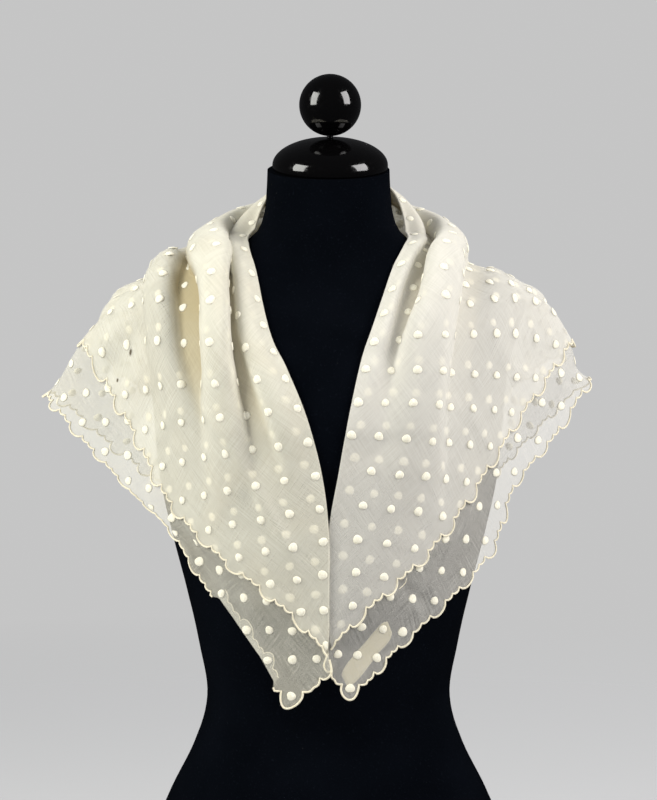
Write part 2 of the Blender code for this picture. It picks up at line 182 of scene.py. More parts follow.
def cloudy(tree, place, scale, detail):
    """A soft random pattern; a larger scale makes it finer."""
    return node(tree, "ShaderNodeTexNoise", Vector=place, Scale=scale, Detail=detail).outputs[0]


def object_place(tree):
    """The place on the object, in metres."""
    return node(tree, "ShaderNodeTexCoord").outputs["Object"]


def bumped(tree, shader, height, strength, distance):
    """Bump the shader's surface by a height."""
    bump = node(tree, "ShaderNodeBump", Height=height, Strength=strength, Distance=distance)
    tree.links.new(bump.outputs[0], shader.inputs["Normal"])


# %% [markdown]
# The object stands on a round sheet of pale paper that thins out to nothing a few steps
# away, so no edge shows behind it from any side, and past it the camera sees an even grey.
# A curved backdrop would do for the front, but it hides the back. Two large soft boxes
# stand left and right of the camera: they give the lacquer its two upright highlights. A
# weaker one from behind keeps the back from falling dark. The lacquer doesn't mirror that
# one or the floor, because they would lie on it as pale crescents.
# %% Studio
FLOOR_RADIUS = 3.0
FLOOR_SIDES = 96
FLOOR_FADE = (0.5, 2.2)                     # distances between which the paper thins out
PAPER = (0.44, 0.44, 0.44)
PAPER_ROUGHNESS = 0.95
WHITE = (1.0, 1.0, 1.0)
ROOM_TINT = (0.92, 0.94, 1.0)
ROOM_LIGHT = 0.47
ROOM_SEEN = 0.56
ROOM_MIRRORED = 0.04                        # behind the camera the room is dark
SOFTBOXES = (
    # name, place, width and height, power, colour, whether the lacquer mirrors it
    ("softbox_left", (-2.0, -0.95, 1.5), (1.1, 1.7), 69.0, (1.0, 1.0, 0.95), True),
    ("softbox_right", (2.0, -0.90, 1.6), (1.1, 1.7), 66.0, (1.0, 0.98, 0.98), True),
    ("softbox_back", (0.9, 2.5, 1.9), (1.6, 1.2), 34.0, WHITE, False),
)


def add_floor():
    """A round floor, solid below the object and fading outwards."""
    mesh = bmesh.new()
    bmesh.ops.create_circle(mesh, cap_ends=True, segments=FLOOR_SIDES, radius=FLOOR_RADIUS)
    data = bpy.data.meshes.new("floor")
    mesh.to_mesh(data)
    mesh.free()
    material, tree, shader = new_material("pale_paper", PAPER, PAPER_ROUGHNESS, Specular_IOR_Level=0.0)
    away = node(tree, "ShaderNodeVectorMath", operation="LENGTH", i0=object_place(tree)).outputs["Value"]
    tree.links.new(ranged(tree, away, FLOOR_FADE, (1.0, 0.0)), shader.inputs["Alpha"])
    data.materials.append(material)
    floor = bpy.data.objects.new("floor", data)
    bpy.context.scene.collection.objects.link(floor)
    floor.visible_glossy = False


def add_room():
    """Even light from all around; what the camera sees and what lacquer mirrors differ."""
    world = bpy.data.worlds.new("soft_room")
    world.use_nodes = True
    tree = world.node_tree
    back = tree.nodes["Background"]
    ray = node(tree, "ShaderNodeLightPath")
    mirrored, seen = ray.outputs["Is Glossy Ray"], ray.outputs["Is Camera Ray"]
    light = ranged(tree, mirrored, (0.0, 1.0), (ROOM_LIGHT, ROOM_MIRRORED))
    tree.links.new(ranged(tree, seen, (0.0, 1.0), (light, ROOM_SEEN)), back.inputs["Strength"])
    tree.links.new(mixed(tree, seen, ROOM_TINT, WHITE), back.inputs["Color"])
    bpy.context.scene.world = world


def add_softbox(name, place, size, power, colour, mirrored):
    """A rectangular soft light turned towards the chest, seen in the lacquer or not."""
    data = bpy.data.lights.new(name, "AREA")
    data.shape = "RECTANGLE"
    data.size, data.size_y = size
    data.energy = power
    data.color = colour
    light = bpy.data.objects.new(name, data)
    light.location = place
    light.rotation_euler = (AIM - Vector(place)).to_track_quat("-Z", "Y").to_euler()
    light.visible_glossy = mirrored
    bpy.context.scene.collection.objects.link(light)


add_floor()
add_room()
for softbox in SOFTBOXES:
    add_softbox(*softbox)
bpy.context.scene.view_settings.view_transform = "Standard"
print("studio: floor, room and", len(SOFTBOXES), "soft boxes")

# %% [markdown]
# The cloth lies on the form, so the form's shape comes first. A short table gives its
# half width and its depth in front of and behind the axis at a few levels, and a smooth
# curve through the rows gives every level between. Below the fullest part of the chest
# and back the cloth hangs free, so there the surface that carries it goes straight down.
# Tables in this script are in millimetres, as a dressmaker would write them.
# %% Shape of the form
FORM_SECTIONS = (
    # level, half width, front, back
    (0, 168, 108, 120),
    (60, 165, 106, 118),
    (108, 147, 99, 108),
    (160, 122, 90, 92),
    (200, 112, 87, 82),
    (245, 119, 91, 83),
    (290, 129, 100, 87),
    (345, 143, 113, 93),
    (400, 155, 122, 97),
    (450, 160, 126, 100),
    (500, 165, 117, 102),
    (540, 175, 99, 100),
    (558, 181, 86, 94),
    (572, 170, 77, 87),
    (585, 148, 70, 80),
    (597, 115, 65, 74),
    (610, 86, 61, 69),
    (625, 66, 58, 64),
    (642, 59, 56, 60),
    (660, 57, 55, 57),
    (682, 56, 55, 55),
)
FORM_TOP = FORM_SECTIONS[-1][0]
HANG_FRONT = 450.0                          # level below which the cloth hangs free in front
HANG_BACK = 500.0
HANG_TAPER = 0.045                          # how far it closes in for each mm further down
PROBE = 0.5                                 # step over which the way straight out is measured
PUSH_ROUNDS = 6
PUSH_LIMIT = 12.0                           # farthest move of one round


def support_ratio(points):
    """How far out points lie: 1 on the surface that the cloth rests on or hangs from."""
    x, y, z = points[..., 0], points[..., 1], points[..., 2]
    hang = np.where(y < 0, HANG_FRONT, HANG_BACK)
    section = smooth_rows(FORM_SECTIONS, np.maximum(z, hang))
    depth = np.where(y < 0, section[..., 1], section[..., 2])
    drop = np.maximum(0.0, hang - z) * HANG_TAPER
    return np.hypot(x / (section[..., 0] - drop), y / (depth - drop))


def distance_out(points):
    """Distance of points from the support surface, and the way straight out."""
    here = support_ratio(points)
    slope = np.stack([(support_ratio(points + step) - here) / PROBE
                      for step in np.eye(3) * PROBE], axis=-1)
    size = np.linalg.norm(slope, axis=-1)
    return (here - 1.0) / size, slope / size[..., None]


def push_out(points, clearance):
    """Move points straight out until they are clear of the support surface."""
    points = points.copy()
    for _ in range(PUSH_ROUNDS):
        distance, out = distance_out(points)
        short = np.clip(clearance - distance, 0.0, PUSH_LIMIT)
        points += out * short[..., None]
    return points


print("form is", FORM_TOP, "mm tall below its cap")

# %% [markdown]
# Next the flat cloth. The dots lie on a square lattice, so one step of it sets every
# size: the square, the fold line and the scallops. In the flat plan u runs along the
# fold and v away from it. The two layers are the two sides of the fold, and because the
# fold is not on the diagonal, the under layer is the larger one and shows below.
# %% The flat plan
DOT_STEP = 27.58
PERIODS = 21
CORNER_MARGIN = 12.8
HALF_DIAGONAL = DOT_STEP * PERIODS + CORNER_MARGIN
FOLD_OFFSET = 1.5 * DOT_STEP
HALF_FOLD = HALF_DIAGONAL - FOLD_OFFSET
ROOT_TWO = math.sqrt(2.0)
EDGE_PERIOD = DOT_STEP * ROOT_TWO           # one repeat of scallops along the edge
NOTCH = 9.0                                 # from the outermost dots to the notches
BIG_LOBE = (9.75, 7.2)                      # half chord and depth of the lobe at a dot
SMALL_LOBE = (4.875, 2.6)                   # the two small lobes between
CORNER_NOTCH = 5.0                          # the same as NOTCH, beside a corner's lobe
CORNER_RADIUS = math.hypot(BIG_LOBE[0], CORNER_NOTCH)
CORNER_TIP = 10.8
NOTCH_RISE = NOTCH * ROOT_TWO
LOBE_RISE = (NOTCH + BIG_LOBE[1]) * ROOT_TWO
LOBE_WAVER = 1.3                            # how far the hand-stitched edge strays
LOBE_WAVER_LENGTH = 19.0                    # and the length over which that changes
ROLL_TAKE_UP = 0.5 * DOT_STEP               # cloth that lies in the soft roll of the fold
UPPER_HALF_FOLD = HALF_FOLD - ROLL_TAKE_UP
UPPER_DOT_LINE = UPPER_HALF_FOLD - NOTCH_RISE
UNDER_DOT_LINE = HALF_FOLD + 2.0 * FOLD_OFFSET - NOTCH_RISE
SHORT_DOT_LINE = HALF_FOLD - NOTCH_RISE
UNDER_REACH = UNDER_DOT_LINE + LOBE_RISE    # v of the lobes' tips at the middle
UPPER_REACH = (UPPER_DOT_LINE + LOBE_RISE) * HALF_FOLD / UPPER_HALF_FOLD


def arc_rise(offset, half_chord, depth):
    """Height of a round lobe above its chord."""
    radius = (half_chord ** 2 + depth ** 2) / (2.0 * depth)
    return math.sqrt(max(0.0, radius ** 2 - offset ** 2)) - (radius - depth)


def waver(along, length, seed):
    """A smooth random number, about -1 to 1, that changes over a length."""
    return noise.noise(Vector((along / length, *seed)))


def scallop(along, corner=0.0):
    """Distance of the stitched edge from the line of dots, at a place along that line."""
    off = abs((along + 0.5 * EDGE_PERIOD) % EDGE_PERIOD - 0.5 * EDGE_PERIOD)
    near = 1.0 - float(smooth_step(BIG_LOBE[0], 0.5 * EDGE_PERIOD, abs(along - corner)))
    notch = NOTCH + LOBE_WAVER * waver(along, LOBE_WAVER_LENGTH, (4.0, 0.0))
    notch += (CORNER_NOTCH - notch) * near
    if off < BIG_LOBE[0]:
        return notch + arc_rise(off, *BIG_LOBE)
    return notch + arc_rise(off - BIG_LOBE[0] - SMALL_LOBE[0], *SMALL_LOBE)


print("square side:", round(HALF_DIAGONAL * ROOT_TWO), "mm; fold:", round(2 * HALF_FOLD), "mm")

# %% [markdown]
# How the cloth lies is written as one table. Each row is one place along the fold and
# gives five points: the fold edge, two points on the way over the form, and the two
# hems. Smooth lines through them make the quiet shape of the cloth, and each line is
# pushed clear of the form. A cloth simulation could find such a shape, but it would not
# find this one, so the points are given one by one.
# %% Where the cloth lies
DRAPE = (
    # u, fold, near, far, upper hem, under hem; each as x, y, z
    (-550, -0.4, -125, 251, -0.4, -125, 251, -0.4, -125, 251, -0.4, -125, 251, -73, -112, 248),
    (-500, -0.4, -128.5, 303, -16, -127, 301, -32, -125, 299, -49, -121, 296, -110, -93, 301),
    (-450, -0.4, -129.5, 356, -33, -128, 350, -66, -119, 343, -100, -100, 336, -145, -64, 354),
    (-400, -6, -128, 407, -51, -124, 399, -100, -101, 389, -145, -67, 378, -187, -37, 394),
    (-350, -19, -124, 459, -70, -116, 452, -124, -85, 443, -176, -41, 432, -229, -12, 434),
    (-300, -37, -114, 503, -92, -104, 502, -154, -60, 498, -207, -18, 485, -264, 14, 470),
    (-263, -52, -100, 534, -108, -84, 548, -188, -24, 552, -230, 4, 521, -254, 38, 466),
    (-200, -64, -66, 583, -118, -42, 592, -195, 16, 564, -190, 54, 484, -200, 82, 413),
    (-132, -69, -4, 622, -126, 25, 600, -166, 60, 536, -130, 94, 436, -136, 111, 360),
    (-60, -49, 48, 666, -70, 82, 600, -80, 104, 490, -63, 116, 369, -61, 125, 290),
    (0, 0, 76, 676, 0, 92, 604, 0, 108, 480, 0, 122, 312, 0, 128, 234),
    (60, 54, 48, 669, 72, 82, 602, 80, 104, 490, 63, 116, 369, 61, 125, 290),
    (132, 71, 0, 626, 126, 25, 598, 166, 60, 534, 130, 94, 436, 136, 111, 360),
    (200, 57, -60, 589, 112, -42, 592, 194, 16, 563, 182, 60, 482, 174, 88, 408),
    (263, 41, -100, 544, 102, -84, 552, 189, -22, 556, 224, 12, 518, 214, 48, 456),
    (300, 30, -113, 512, 90, -101, 512, 156, -58, 507, 210, -14, 500, 247, 14, 489),
    (350, 19, -123, 464, 72, -114, 462, 124, -85, 456, 172, -43, 449, 213, -17, 440),
    (400, 10, -128, 413, 55, -123, 408, 97, -103, 402, 136, -75, 394, 173, -44, 395),
    (450, 1.2, -127, 361, 35, -127, 356, 65, -119, 351, 97, -102, 344, 152, -57, 336),
    (500, 1.2, -126, 308, 17, -127, 306, 33, -125, 304, 50, -121, 300, 108, -94, 292),
    (550, 1.2, -123, 256, 1.2, -123, 256, 1.2, -123, 256, 1.2, -123, 256, 59, -112, 249),
)
# The under layer's two corners at the front, and how far its short ends bow inwards.
CORNERS = {-1: (-38.0, -119.0, 201.0), 1: (19.0, -120.0, 209.0)}
END_BOW = {-1: (6.0, 0.0, -2.0), 1: (-4.0, 0.0, -2.0)}

# %% [markdown]
# The folds round the neck are rolls that start at the back and run down the chest. Each
# has a table too: at a few places u it gives the crest's distance from the fold edge,
# the width of its two flanks, its height, how far its crest leans over, and how far its
# flanks bulge past their foot. A flank that bulges or leans over makes a sharp crease
# with a dark valley beside it. Longer creases at other angles, such as those that fan out
# over the shoulders, are straight troughs or ridges from one place of the flat cloth to
# another. They could be sculpted too, but then no single fold could be moved by a number.
# %% Folds and creases
ROLLS = {
    "fold band": (
        # u, crest, inner flank, outer flank, height, lean, bulge
        (-450, 20, 16, 16, 0.0, 0, 0), (-410, 20, 18, 16, 1.5, 1, 0), (-370, 20, 18, 18, 5.5, 2, 0),
        (-330, 19, 18, 19, 8.5, 3, 1), (-270, 17, 16, 18, 9.5, 4, 1), (-230, 15, 14, 14, 9.5, 4, 1),
        (-180, 14, 13, 9, 9.5, 4, 1),
        (-100, 14, 12, 10, 8.0, 3, 0), (0, 12, 11, 16, 5.0, 0, 0), (100, 11, 10, 10, 7.0, 3, 0),
        (200, 11, 10, 8, 7.5, 3, 0), (270, 11, 10, 10, 5.5, 2, 0), (320, 12, 11, 12, 2.0, 0, 0),
        (380, 12, 11, 12, 0.0, 0, 0),
    ),
    "second roll": (
        (-430, 92, 30, 26, 0.0, 0, 0), (-370, 82, 28, 26, 8.0, -5, 2), (-325, 72, 22, 20, 16.0, -9, 4),
        (-292, 60, 15, 14, 21.0, -8, 5), (-270, 54, 12, 12, 23.0, -8, 6), (-248, 50, 11, 12, 24.0, -8, 6),
        (-222, 49, 12, 13, 25.0, -10, 7), (-192, 49, 14, 18, 25.0, -12, 11),
        (-140, 42, 14, 18, 23.0, -10, 8), (-60, 34, 14, 18, 16.0, -2, 2), (0, 33, 15, 20, 12.0, 0, 0),
        (60, 36, 15, 20, 15.0, -1, 1), (120, 43, 14, 13, 21.0, -8, 6), (180, 51, 17, 14, 24.0, -9, 7),
        (240, 59, 21, 15, 25.0, -9, 8), (280, 64, 34, 15, 20.0, -10, 7), (330, 70, 42, 16, 14.0, -4, 4),
        (380, 78, 46, 20, 7.0, 0, 2), (440, 82, 46, 26, 0.0, 0, 0),
    ),
    "third roll": (
        (-390, 116, 28, 36, 0.0, 0, 0), (-330, 111, 20, 34, 7.0, 0, 1), (-285, 109, 15, 30, 13.0, 0, 3),
        (-240, 102, 14, 26, 17.0, 0, 4), (-200, 91, 14, 22, 18.0, 0, 5), (-140, 76, 13, 20, 16.0, 0, 4),
        (-60, 68, 16, 26, 10.0, 0, 1), (0, 70, 18, 30, 8.0, 0, 0), (60, 74, 20, 30, 7.0, 0, 0),
        (140, 96, 20, 30, 5.0, 0, 0), (220, 112, 22, 34, 4.0, 0, 0), (300, 126, 24, 34, 3.0, 0, 0),
        (370, 132, 24, 34, 0.0, 0, 0),
    ),
    "cowl": (
        (-190, 150, 28, 40, 0.0, 0, 0), (-100, 128, 26, 38, 5.0, 0, 0), (0, 122, 26, 40, 6.0, 0, 0),
        (100, 132, 28, 40, 4.0, 0, 0), (190, 152, 28, 40, 0.0, 0, 0),
    ),
}
CREASES = (
    # from u, place, to u, place, half width, height
    (-262, 128, -284, 204, 8, 2.6),
    (-286, 128, -314, 182, 7, 2.2),
    (-238, 132, -232, 226, 10, 2.8),
    (-214, 140, -186, 250, 12, 3.0),
    (-326, 112, -352, 160, 8, 1.6),
    (-274, 132, -298, 196, 6, -1.8),
    (-226, 140, -208, 236, 8, -2.4),
    (-306, 120, -336, 176, 7, -1.6),
    (-410, 158, -482, 116, 8, -3.6),
    (-318, 92, -458, 34, 7, 3.0),
    (-300, 66, -392, 44, 8, -1.8),
    (-400, 186, -486, 126, 7, 2.0),
    (-190, 160, -70, 262, 16, 3.2),
    (-176, 196, -60, 300, 15, -2.4),
    (-120, 176, 110, 206, 22, 3.0),
    (-40, 250, 30, 430, 26, -2.5),
    (196, 150, 74, 268, 17, 3.0),
    (186, 200, 66, 330, 16, -2.4),
    (216, 142, 196, 240, 12, 2.6),
    (250, 138, 256, 222, 10, 2.0),
    (290, 128, 318, 184, 9, 1.8),
    (232, 140, 226, 232, 9, -2.0),
    (340, 110, 372, 150, 9, 1.2),
    (484, 62, 502, 98, 8, -2.0),
    (120, 330, 30, 470, 18, 2.6),
    (-130, 320, -34, 470, 18, 2.4),
)
print(len(ROLLS), "rolls and", len(CREASES), "creases")

# %% Heights of the folds
FULLNESS = 1.4                              # above 1, a roll is broad on top and steep below
VALLEY_REACH = 33.0                         # a valley is narrower than twice this
FOLD_EDGE = (14.0, 27.0)                    # v across which the depth of the valleys sets in
CREASE_START = (-0.25, 0.3)                 # shares of its length where a crease comes up
CREASE_END = (0.7, 1.25)                    # and where it dies away
CREASE_NARROW = 1.4                         # the larger, the narrower is its crest


def roll_heights(u, place):
    """Height of the rolls off the quiet surface, and the lean along it."""
    height = np.zeros_like(place)
    lean = np.zeros_like(place)
    for rows in ROLLS.values():
        crest, inner, outer, rise, tip, bulge = np.moveaxis(smooth_rows(rows, u), -1, 0)
        off = place - crest
        off = off / np.where(off < 0, inner, outer)
        beyond = (u < rows[0][0]) | (u > rows[-1][0]) | (np.abs(off) >= 1.0)
        bump = np.cos(0.5 * math.pi * np.clip(np.abs(off), 0, 1) ** FULLNESS) ** 2
        bump = np.where(beyond, 0.0, bump)
        height += np.maximum(rise, 0.0) * bump
        lean += tip * bump + bulge * np.where(beyond, 0.0, np.sin(math.pi * np.clip(off, -1, 1)))
    return height, lean


def picked_nearby(height, window, pick):
    """The highest or lowest point near each one along its line, as pick says."""
    padded = np.pad(height, ((0, 0), (window, window)), mode="edge")
    return pick([padded[:, step:step + height.shape[1]] for step in range(2 * window + 1)], axis=0)


def valley_depth(height, places):
    """How deep each point lies below the crests on both sides of it."""
    window = int(VALLEY_REACH / places[len(places) // 2, 1])
    filled = picked_nearby(picked_nearby(height, window, np.max), window, np.min)
    return (filled - height) * smooth_step(*FOLD_EDGE, places)


def crease_heights(u, place):
    """Height of the straight creases, which die away at both ends."""
    height = np.zeros_like(place)
    for from_u, from_place, to_u, to_place, half_width, rise in CREASES:
        du, dp = to_u - from_u, to_place - from_place
        length = math.hypot(du, dp)
        along = ((u - from_u) * du + (place - from_place) * dp) / length ** 2
        aside = ((u - from_u) * dp - (place - from_place) * du) / length
        fade = smooth_step(*CREASE_START, along) * (1.0 - smooth_step(*CREASE_END, along))
        height += rise * fade * np.exp(-(aside / half_width) ** 2 * CREASE_NARROW)
    return height


print("second roll is", max(row[4] for row in ROLLS["second roll"]), "mm high at most")

# %% [markdown]
# Now the surface itself is worked out once, as a fine net of points. It follows each
# line of the table from the fold edge to the hem, adds rolls, creases and a little
# unevenness, and is then measured along the cloth, so that a place of the flat plan can
# be looked up on it. Everything sewn on the cloth, down to the last dot, goes through
# this one lookup and so lies on the cloth by itself.
# %% The cloth's surface
STATION_STEP = DOT_STEP / 8.0
MIDDLE_STATION = 159                        # number of the line down the middle of the back
LAST_STATION = MIDDLE_STATION * STATION_STEP
GUIDES = 5                                  # points in a row of the table
HEM_GUIDE = 3                               # the one at the upper hem
SPAN_STEPS = 12
LINE_POINTS = 320
NET_POINTS = {"upper": 240, "under": 280}
CLEAR_OF_FORM = 3.05
UNEVEN = 1.1
UNEVEN_ROWS = (14.0, 60.0)                  # v across which the unevenness sets in
UNEVEN_WAVES = ((1.0, 46.0, 46.0, 3.0), (0.5, 21.0, 24.0, 8.0))     # share, two lengths, seed


def quiet_lines(stations):
    """Smooth lines over the form, one for each station."""
    guides = smooth_rows(DRAPE, stations).reshape(len(stations), GUIDES, 3)
    spans = np.linalg.norm(np.diff(guides, axis=1), axis=-1)
    first = np.clip(np.arange(GUIDES) - 1, 0, GUIDES - 1)
    after = np.clip(np.arange(GUIDES) + 1, 0, GUIDES - 1)
    around = np.pad(spans, ((0, 0), (1, 1)))
    around = np.maximum(around[:, :-1] + around[:, 1:], 1e-6)[..., None]
    slopes = (guides[:, after] - guides[:, first]) / around
    points = []
    for part in range(GUIDES - 1):
        span = spans[:, part, None, None]
        t = np.linspace(0.0, 1.0, SPAN_STEPS, endpoint=False)[None, :, None]
        points.append(guides[:, part, None] * (2 * t ** 3 - 3 * t ** 2 + 1)
                      + slopes[:, part, None] * span * (t ** 3 - 2 * t ** 2 + t)
                      + guides[:, part + 1, None] * (3 * t ** 2 - 2 * t ** 3)
                      + slopes[:, part + 1, None] * span * (t ** 3 - t ** 2))
    points.append(guides[:, -1:])
    return push_out(np.concatenate(points, axis=1), CLEAR_OF_FORM)


def running_length(lines):
    """Length from the fold edge to each point of each line."""
    steps = np.linalg.norm(np.diff(lines, axis=1), axis=-1)
    return np.pad(np.cumsum(steps, axis=1), ((0, 0), (1, 0)))


def read_lines(lines, lengths, wanted):
    """Points of each line at wanted lengths, a row of them for each line."""
    return np.stack([
        np.stack([np.interp(want, length, line[:, axis]) for axis in range(3)], axis=-1)
        for line, length, want in zip(lines, lengths, wanted)
    ])


def outward(lines):
    """Outward directions on the net, and the steps from point to point along its lines."""
    across = np.gradient(lines, axis=1)
    return unit(np.cross(np.gradient(lines, axis=0), across)), across


def unevenness(u, place):
    """Small slow waves that no hand-laid cloth is without."""
    return sum(share * noise.noise(Vector((u / along, place / across, seed)))
               for share, along, across, seed in UNEVEN_WAVES)


def build_net():
    """Each layer's points and valley depths, and the length of the cloth on each line."""
    stations = np.arange(-MIDDLE_STATION, MIDDLE_STATION + 1) * STATION_STEP
    quiet = quiet_lines(stations)
    length = running_length(quiet)
    hem = length[:, HEM_GUIDE * SPAN_STEPS]
    places = np.linspace(0.0, 1.0, LINE_POINTS)[None] * length[:, -1:]
    lines = read_lines(quiet, length, places)
    u = np.repeat(stations[:, None], LINE_POINTS, axis=1)
    height, lean = roll_heights(u, places)
    depth = valley_depth(height, places)
    height += crease_heights(u, places)
    waves = np.array([[unevenness(station, place) for place in row]
                      for station, row in zip(stations, places)])
    height += UNEVEN * waves * smooth_step(*UNEVEN_ROWS, places)
    normal, across = outward(lines)
    lines = lines + normal * height[..., None] + unit(across) * lean[..., None]
    lines = push_out(lines, CLEAR_OF_FORM)
    length = running_length(lines)
    hem_length = np.array([np.interp(h, p, l) for h, p, l in zip(hem, places, length)])
    net = {}
    depths = {}
    for layer, reach in (("upper", hem_length), ("under", length[:, -1])):
        wanted = np.linspace(0.0, 1.0, NET_POINTS[layer] + 1)[None] * reach[:, None]
        net[layer] = read_lines(lines, length, wanted)
        depths[layer] = np.stack([np.interp(want, run, deep)
                                  for want, run, deep in zip(wanted, length, depth)])[..., None]
    return net, depths, length[:, -1]


net, depths, under_lengths = build_net()
normals = {layer: outward(points)[0] for layer, points in net.items()}
REACH = {"upper": UPPER_REACH, "under": UNDER_REACH}
print("cloth over the middle of the back:", round(float(under_lengths[MIDDLE_STATION])), "mm")


# %% Looking up a place of the flat plan
END_STATIONS = 4                            # so near an end, the way out is read further in
END_STEPS = 3.0                             # the upper layer's ends go on by so many steps
BOW_REACH = 40.0                            # this far in from a short end its bow has died away
# painted shade: this depth gives the inside of the collar the valleys' painted shade
COLLAR_DEPTH = 13.0                         # the inside of the collar counts as a valley too
COLLAR_ENDS = (110.0, 190.0)
COLLAR_ROWS = (25.0, 80.0)


def sample(points, station, share):
    """Read a net between its points."""
    last_row, last_column = points.shape[0] - 2, points.shape[1] - 2
    row = np.clip(np.floor(station).astype(int), 0, last_row)
    column = np.clip(np.floor(share).astype(int), 0, last_column)
    a = (station - row)[..., None]
    b = np.clip(share - column, 0.0, 1.0)[..., None]
    return ((1 - a) * ((1 - b) * points[row, column] + b * points[row, column + 1])
            + a * ((1 - b) * points[row + 1, column] + b * points[row + 1, column + 1]))


def net_place(layer, flat):
    """Where on a layer's net flat places lie, and their u and v stretched to it."""
    u, v = np.moveaxis(np.asarray(flat, float), -1, 0)
    if layer == "upper":
        u = u * HALF_FOLD / UPPER_HALF_FOLD
        v = v * HALF_FOLD / UPPER_HALF_FOLD
    held = np.clip(u, -LAST_STATION, LAST_STATION)
    share = v / (REACH[layer] - np.abs(held)) * (net[layer].shape[1] - 1)
    return u, v, held / STATION_STEP + MIDDLE_STATION, share


def past_the_end(layer, u, v, side):
    """How far places past the last station move on from it, to one side."""
    past = (np.abs(u) - LAST_STATION) / (HALF_DIAGONAL - LAST_STATION)
    past = np.where((past > 0) & (u * side > 0), past, 0.0)[..., None]
    if layer == "upper":
        edge = net[layer][::side, 0]
        return past * (edge[-1] - edge[-1 - END_STATIONS]) * END_STEPS
    end = net[layer][0 if side < 0 else -1]
    at = FOLD_OFFSET / (UNDER_REACH - LAST_STATION) * (len(end) - 1)
    corner = np.array([np.interp(at, np.arange(len(end)), end[:, axis]) for axis in range(3)])
    near = np.clip(1.0 - (v - (np.abs(u) - HALF_FOLD)) / BOW_REACH, 0.0, 1.0)[..., None]
    bow = 4.0 * past * np.clip(1.0 - past, 0.0, 1.0) * near     # 1 half way along the end
    return past * (np.array(CORNERS[side]) - corner) + np.array(END_BOW[side]) * bow


def on_cloth(layer, flat, lift=0.0):
    """World points, in mm, of flat places (u, v) of a layer, lifted off it outwards."""
    u, v, station, share = net_place(layer, flat)
    point = sample(net[layer], station, share)
    inner = np.clip(station, END_STATIONS, 2 * MIDDLE_STATION - END_STATIONS)
    out = unit(sample(normals[layer], inner, share))
    for side in CORNERS:
        point = point + past_the_end(layer, u, v, side)
    return point + out * np.asarray(lift)[..., None]


def depth_at(layer, flat):
    """Depth of the valley at flat places of a layer, which sets its painted shade; the inside of the
    collar gets one too.
    """
    u, v, station, share = net_place(layer, flat)
    depth = sample(depths[layer], station, share)[..., 0]
    # painted shade: the inside of the collar is darkened as if it lay in a valley
    if layer == "under":
        behind_neck = 1.0 - smooth_step(*COLLAR_ENDS, np.abs(u))
        depth = depth + COLLAR_DEPTH * behind_neck * (1.0 - smooth_step(*COLLAR_ROWS, v))
    return depth


middle = on_cloth("upper", [(0.0, 0.0), (0.0, 275.0)])
print("collar top at", [round(float(x)) for x in middle[0]], "mm")

# %% [markdown]
# Each layer is a grid whose columns run from the fold to the hem. Just before the hem the
# rows bend away from the line of dots, so the last row traces the scallops: a large lobe
# at each dot of the edge and two small ones between. A square corner gets one round lobe.
# The grid is wrapped on the cloth's surface, and Solidify gives the muslin its wall.
# %% Columns of the flat plan
COLUMN_STEP = DOT_STEP / 16.0
FOLD_ROWS = 46                              # fine rows, for the rolls beside the fold
FOLD_ROW_STEP = 2.9
FIELD_ROWS = 20
EDGE_ROWS = 4
CORNER_COLUMNS = 4
CORNER_TURN = 0.25 * math.pi + math.atan(BIG_LOBE[0] / CORNER_NOTCH)
APEX_WIDTH = BIG_LOBE[0] / ROOT_TWO
SHORT_END_START = 500.0                     # u from which the columns spread to the short end
SHORT_FIRST_DOT = 10.5                      # its place along the short end
TURNED = (-566.0, -496.0)                   # stretch of the left hem that is turned under
TURNED_REACH = 5.0                          # from the dots to the turned edge
TURN_STARTS = (TURNED[0] - 3.0, TURNED[0] + 2.0)
TURN_ENDS = (TURNED[1] - 2.0, TURNED[1] + 7.0)


def corner_reach(turn):
    """Radius of a corner's lobe, least at its tip, so that it meets the notches."""
    return CORNER_TIP + (CORNER_RADIUS - CORNER_TIP) * abs(turn / CORNER_TURN) ** 2


def turned_share(u):
    """1 along the stretch that is turned under, 0 elsewhere, quick between."""
    return float(smooth_step(*TURN_STARTS, u) * (1.0 - smooth_step(*TURN_ENDS, u)))


def hem_places(layer, u):
    """A column's place on the line of dots, and its places out to the stitched edge."""
    line = UPPER_DOT_LINE if layer == "upper" else UNDER_DOT_LINE
    side = 1.0 if u >= 0 else -1.0
    base = np.array((u, line - abs(u)))
    if abs(u) < APEX_WIDTH:
        turn = CORNER_TURN * u / APEX_WIDTH
        dot = np.array((0.0, line))
        edge = dot + corner_reach(turn) * np.array((math.sin(turn), math.cos(turn)))
    else:
        along = abs(u) * ROOT_TWO
        front_corner = layer == "under" and abs(u) > 0.5 * HALF_FOLD
        reach = scallop(along, PERIODS * EDGE_PERIOD if front_corner else 0.0)
        if layer == "under":
            turned = turned_share(u)
            reach += (TURNED_REACH - reach) * turned
        edge = base + reach * np.array((side, 1.0)) / ROOT_TWO
    return base, edge


def fold_place(layer, u):
    """Where a column starts: on the fold, or past its end on the short end."""
    side = 1.0 if u >= 0 else -1.0
    last = UPPER_DOT_LINE if layer == "upper" else UNDER_DOT_LINE - FOLD_OFFSET - APEX_WIDTH
    if abs(u) <= SHORT_END_START:
        return np.array((u, 0.0))
    fold_left = (UPPER_HALF_FOLD if layer == "upper" else HALF_FOLD) - SHORT_END_START
    short = 0.0 if layer == "upper" else EDGE_PERIOD + SHORT_FIRST_DOT - APEX_WIDTH * ROOT_TWO
    along = (abs(u) - SHORT_END_START) / (last - SHORT_END_START) * (fold_left + short)
    if along <= fold_left:
        return np.array((side * (SHORT_END_START + along), 0.0))
    along -= fold_left
    reach = scallop(along - SHORT_FIRST_DOT, EDGE_PERIOD) - NOTCH
    place = np.array((HALF_FOLD, 0.0)) + along * np.array((1.0, 1.0)) / ROOT_TWO
    place += reach * np.array((1.0, -1.0)) / ROOT_TWO
    return place * (side, 1.0)


